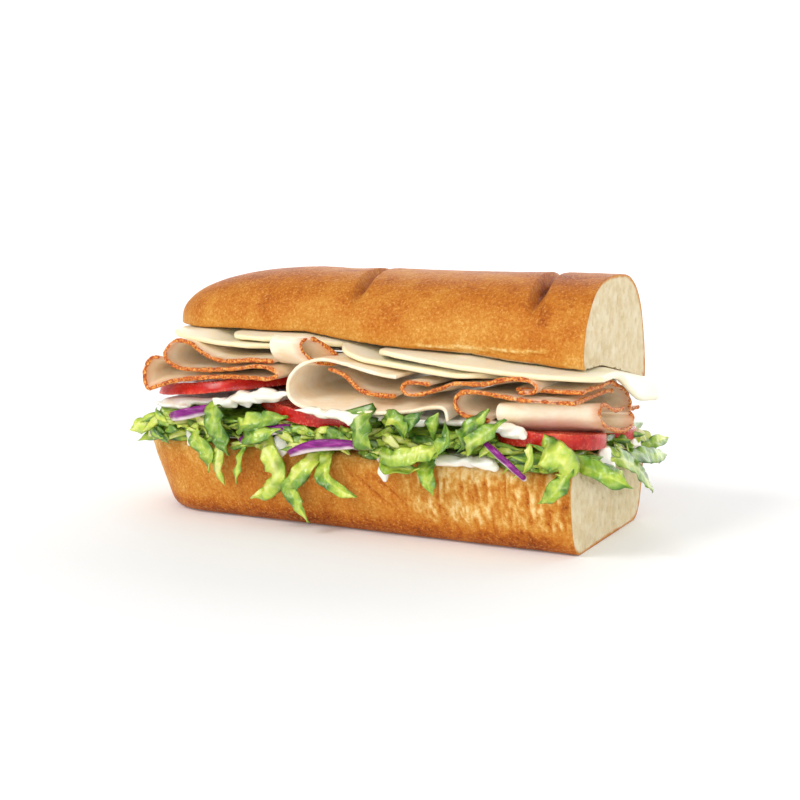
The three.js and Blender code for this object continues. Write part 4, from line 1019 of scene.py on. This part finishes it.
def leaf(path, wide, tone, number, facing=FORWARD, wave=0.8, steps=54, rows=12):
    """A shred of leaf: a strip along its path with creased, ragged edges and a pale rib."""
    curve = curve_through(path)
    u, v = grid(np.linspace(0, 1, steps), np.linspace(0, 1, rows))
    p = curve(u)
    ahead = unit(np.gradient(p, axis=0))
    face = unit(np.array(facing, float))
    side = unit(np.cross(ahead, face))
    out = 2 * v - 1
    edge = np.abs(out)
    run = u * curve.length
    rim = xyz(run + 50 * number, np.sign(out) * 9)
    phase = 1.7 * number
    twist = 0.9 * noise(rim * (1, 0, 0), 9, 8)[..., None]
    side, face = side * np.cos(twist) + face * np.sin(twist), face * np.cos(twist) - side * np.sin(twist)
    taper = 0.3 + 0.7 * np.sin(math.pi * np.clip(0.1 + 0.84 * u, 0, 1)) ** 0.7
    ragged = 1 + 0.36 * noise(rim, 4.4, 1) + 0.1 * np.abs(noise(rim, 2.1, 2))
    ruffle = 2 * np.abs(np.sin(math.pi * run / 6.3 + phase + 0.8 * (out > 0))) - 1
    ruffle = ruffle + 1.5 * np.abs(noise(rim, 2.2, 9)) - 0.6
    # Narrow shreds wave less
    sway = wave * min(wide / 5, 1)
    lift = sway * (ruffle * edge ** 1.3 - 1.3 * edge * math.sin(phase + 0.6))
    lift = lift + 0.5 * wave * noise(rim * (1, 0, 1), 5, 3)
    spread_out = p + side * (out * wide / 2)[..., None]
    lift = lift + 1.5 * wave * min(wide / 6, 1) * (0.4 - np.abs(noise(spread_out, 2.7, 40 + number)))
    tip = ramp(0, 0.12, u) * ramp(1.02, 0.8, u) * 0.9 + 0.1
    middle = p + side * (out / 2 * wide * taper * ragged * tip)[..., None] + face * lift[..., None]
    middle = middle + ahead * (0.9 * noise(rim, 1.6, 4) * edge * ramp(0.86, 1, u))[..., None]
    crease = 0.5 - np.abs(noise(rim + side * 3 * out[..., None], (1.5, 9, 9), 10))
    blister = np.abs(noise(middle, 1.9, 6)) * 0.2 - 0.1 + 0.16 * crease
    rib = np.exp(-(out / 0.12) ** 2) * (number % 4 == 0) * ramp(0.9, 0.5, u)
    lines = np.abs(np.sin(TAU * (run / 7 + 0.35 * edge + 0.1 * number))) ** 30 * 0.3
    vein = np.clip(0.8 * rib + lines * ramp(1, 0.6, edge), 0, 1)
    # Tone: darker towards the edges and at random, with painted light and shade that follow the ruffles and
    # creases, paler on their crests and darker in their hollows.
    shade = tone + 0.03 + 0.3 * (edge - 0.5) + 0.46 * noise(rim, 7, 5) - 0.16 * (ruffle * edge + crease)
    looks = {"tone": np.clip(shade, 0, 1), "vein": vein}
    return sheet(middle, LEAF_THICKNESS * (1 + 0.9 * rib), looks, blister * (1 - rib))


def lettuce_core():
    """The body of the heap under its shreds, crumpled all over."""
    level = along_stations([
        (-70, 31), (-56, 32.8), (-26, 32.8), (0, 32.2), (24, 33.4), (56, 33.4), (62, 31), (80, 30)])
    x, turn = grid(np.linspace(-66, 76, 160), np.linspace(0, TAU, 96, endpoint=False))
    y = 30.5 * np.maximum(rounding(x, -44, 23, 2.2), 0.3) * signed_power(np.cos(turn), 0.6)
    up = signed_power(np.sin(turn), 0.6)
    crumple = 1.5 * (0.6 - np.abs(rough(xyz(x, y, 4 * up), 5, 7, 3)) * 2.4)
    height = mix(26, level(x) - 0.8, (up + 1) / 2) + 0.35 * crumple
    rings = settle(x, y + crumple * np.cos(turn), height)
    # Darker in the crumples' hollows and paler on their bumps: painted shade and painted light.
    looks = {"tone": np.clip(0.62 - 0.25 * crumple, 0, 1), "vein": 0 * x}
    core = make_piece("lettuce_core", rings, loft(rings), looks, LETTUCE_LOOK, "lettuce")
    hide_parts("lettuce")
    return core


def filling_shreds():
    """Small shreds over the heap between the larger ones: front, cut end, back and rounded end."""
    pick = np.random.default_rng(11).uniform
    parts = []

    def add_shred(path, narrow, wide, number, facing, wave=0.6, mesh=FILL_MESH):
        parts.append(leaf(path, pick(narrow, wide), pick(*FILL_TONES), number, facing, wave, **mesh))

    for k in range(FRONT_FILL):
        x = pick(-58, 74)
        z = pick(24.5, 31.5)
        y = -31.5 - pick(0, 2.5)
        if any(left < x < right and z < top for left, right, top in SAUCE_SHOWS):
            continue
        angle = pick(-0.9, 0.9) + (math.pi if pick(0, 1) < 0.5 else 0)
        reach = pick(4, 11)
        dx, dz = reach * math.cos(angle), 0.8 * reach * math.sin(angle)
        path = [(x - dx * 0.6, y + 2, z - dz * 0.3), (x, y - pick(1, 3), z)]
        path.append((x + dx * 0.6, y - pick(0.5, 4), z + dz * 0.5 - 1))
        add_shred(path, 1.2, 3, 60 + k, FORWARD, 0.5, dict(steps=18, rows=6))
    for k in range(END_FILL):
        y = pick(-26, 27)
        z = pick(24.5, 28.5)
        reach = pick(3.5, 8) * (1 if pick(0, 1) < 0.5 else -1)
        path = [(73, y - reach * 0.4, z), (78.5, y, z - 0.5)]
        path.append((79 + pick(0, 3), y + reach * 0.6, z - pick(0, 4)))
        add_shred(path, 1.8, 3.8, 260 + k, TOWARDS_CUT)
    for k in range(BACK_FILL):
        x = pick(-58, 74)
        z = pick(26.5, 31.5)
        dx = pick(-6, 6)
        path = [(x - dx * 0.6, 29, z), (x, 33.5 + pick(0, 2.5), z)]
        path.append((x + dx * 0.6, 33 + pick(0, 3), z - pick(0, 4)))
        add_shred(path, 2, 4, 300 + k, BACKWARD)
    for k in range(ROUND_FILL):
        turn = pick(0.45, 1.4) * math.pi
        share = pick(0.55, 0.95)
        swing = turn + pick(-0.35, 0.35)
        spots = ((share - 0.25, turn), (share, (turn + swing) / 2), (share + pick(0.1, 0.25), swing))
        drop = pick(0, 2.5)
        path = [(-42 + 25 * s * math.cos(a), 29 * s * math.sin(a), 33 - 1.6 * s - drop * i / 2 + pick(0, 1))
                for i, (s, a) in enumerate(spots)]
        add_shred(path, 2, 4, 400 + k, UPWARD)
    return parts


def random_from(seed):
    """Numbers drawn the way the solids draw them, so that the shreds lie where theirs do."""
    state = seed

    def draw(low, high):
        nonlocal state
        state = state * 16807 % 2147483647
        return low + (high - low) * state / 2147483647

    return draw


def back_shreds():
    """Large shreds along the back, where the solids have theirs, and at the rounded end."""
    draw = random_from(2024)
    parts = []
    for k in range(BACK_SHREDS):
        x = mix(-56, 70, (k + draw(0.1, 0.9)) / BACK_SHREDS)
        start = draw(26.4, 31)
        lean = draw(-7, 7)
        out = draw(37, 39.6)
        tip = start + draw(-13, 5)
        path = [(x, 26, start), (x + lean * 0.4, out, start + draw(-1.5, 2)), (x + lean, out + 1, tip)]
        parts.append(leaf(path, draw(3.2, 6), 0.35 + 0.4 * (k % 3) / 2, 400 + k, BACKWARD))
    for k in range(ROUND_SHREDS):
        turn = mix(0.75, 1.3, k / (ROUND_SHREDS - 1)) * math.pi
        start = draw(27, 31)
        path = [(-50 + 28 * share * math.cos(turn), 24 * share * math.sin(turn), start - n * draw(0.4, 2.4))
                for n, share in enumerate((0.3, 0.8, 1.02))]
        parts.append(leaf(path, draw(4, 6), 0.4 + 0.1 * (k % 3), 430 + k, ROUND_UPWARD))
    return parts


def lettuce():
    front = [leaf(path, wide, tone, k) for k, (wide, tone, path) in enumerate(FRONT_SHREDS)]
    front += [leaf(path, wide, tone, 40 + k, TOWARDS_CUT, 0.25)
              for k, (wide, tone, path) in enumerate(END_SHREDS)]
    groups = {"lettuce_front": front, "lettuce_fill": filling_shreds(), "lettuce_back": back_shreds()}
    made = [make_piece(name, *join(parts), LETTUCE_LOOK, "lettuce") for name, parts in groups.items()]
    return [*made, lettuce_core()]


pieces = [lower_bread(), upper_bread()]
for build, table in (
        (cheese_slice, CHEESE), (folded_slice, FOLDED_SLICES), (rolled_slice, ROLLED_SLICES),
        (tomato_slice, TOMATOES), (onion_strip, ONIONS), (sauce_layer, SAUCES)):
    pieces += [build(k + 1, **values) for k, values in enumerate(table)]
pieces += lettuce()
for piece in pieces:
    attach(piece, "root")


# Camera, light and floor

CAMERA_YAW = math.radians(26.954)
CAMERA_PITCH = math.radians(8.131)
CAMERA_DISTANCE = 436.53
CAMERA_SIDE = -8.353
CAMERA_DROP = -34.196
LENS = 63.41
SENSOR = 36
WHITE = (1, 1, 1, 1)
FLOOR_REACH = 4

right = np.array([math.cos(CAMERA_YAW), math.sin(CAMERA_YAW), 0])
level = np.array([-math.sin(CAMERA_YAW), math.cos(CAMERA_YAW), 0])
ahead = level * math.cos(CAMERA_PITCH) - np.array([0, 0, math.sin(CAMERA_PITCH)])
upward = np.cross(right, ahead)
spot = (-ahead * CAMERA_DISTANCE - right * CAMERA_SIDE - upward * CAMERA_DROP) * MM
camera = add("camera", bpy.data.cameras.new("camera"))
camera.data.lens = LENS
camera.data.sensor_width = SENSOR
camera.data.clip_start = 10 * MM
placed = np.eye(4)
placed[:3] = np.stack([right, upward, -ahead, spot], axis=1)
camera.matrix_world = Matrix(placed.tolist())
bpy.context.scene.camera = camera


def light_from(name, direction, strength, softness, tint=(1, 1, 1)):
    """An even light from a direction, with soft shadows."""
    data = bpy.data.lights.new(name, "SUN")
    data.energy = strength
    data.angle = softness
    data.color = tint
    add(name, data).rotation_euler = Vector(direction).to_track_quat("Z", "Y").to_euler()


light_from("key", (-0.5, -0.8, 0.8), 1.25, 0.35, (1, 0.99, 0.97))
light_from("front", (0.2, -1, 0.16), 1.05, 0.6)
light_from("end", (1, -0.35, 0.5), 0.5, 0.9)

world = bpy.data.worlds.new("room")
world.use_nodes = True
room = world.node_tree.nodes["Background"].inputs
room["Color"].default_value = WHITE
room["Strength"].default_value = 0.56
bpy.context.scene.world = world


def plane(name, corners, glow):
    """A white sheet of the surroundings, with its corners in steps of FLOOR_REACH, which is in metres."""
    mesh = bpy.data.meshes.new(name)
    mesh.from_pydata([np.multiply(corner, FLOOR_REACH) for corner in corners], [], [(0, 1, 2, 3)])
    look = Nodes(name, roughness=0.8, specular=0.1)
    look.shader["Base Color"].default_value = (0.94, 0.94, 0.94, 1)
    look.shader["Emission Color"].default_value = WHITE
    look.shader["Emission Strength"].default_value = glow
    mesh.materials.append(look.material)
    add(name, mesh)


plane("floor", [(-1, -1, 0), (1, -1, 0), (1, 1, 0), (-1, 1, 0)], 0.06)
plane("backdrop", [(-1, 1, 0), (1, 1, 0), (1, 1, 1), (-1, 1, 1)], 1)
bpy.context.scene.view_settings.view_transform = "Standard"
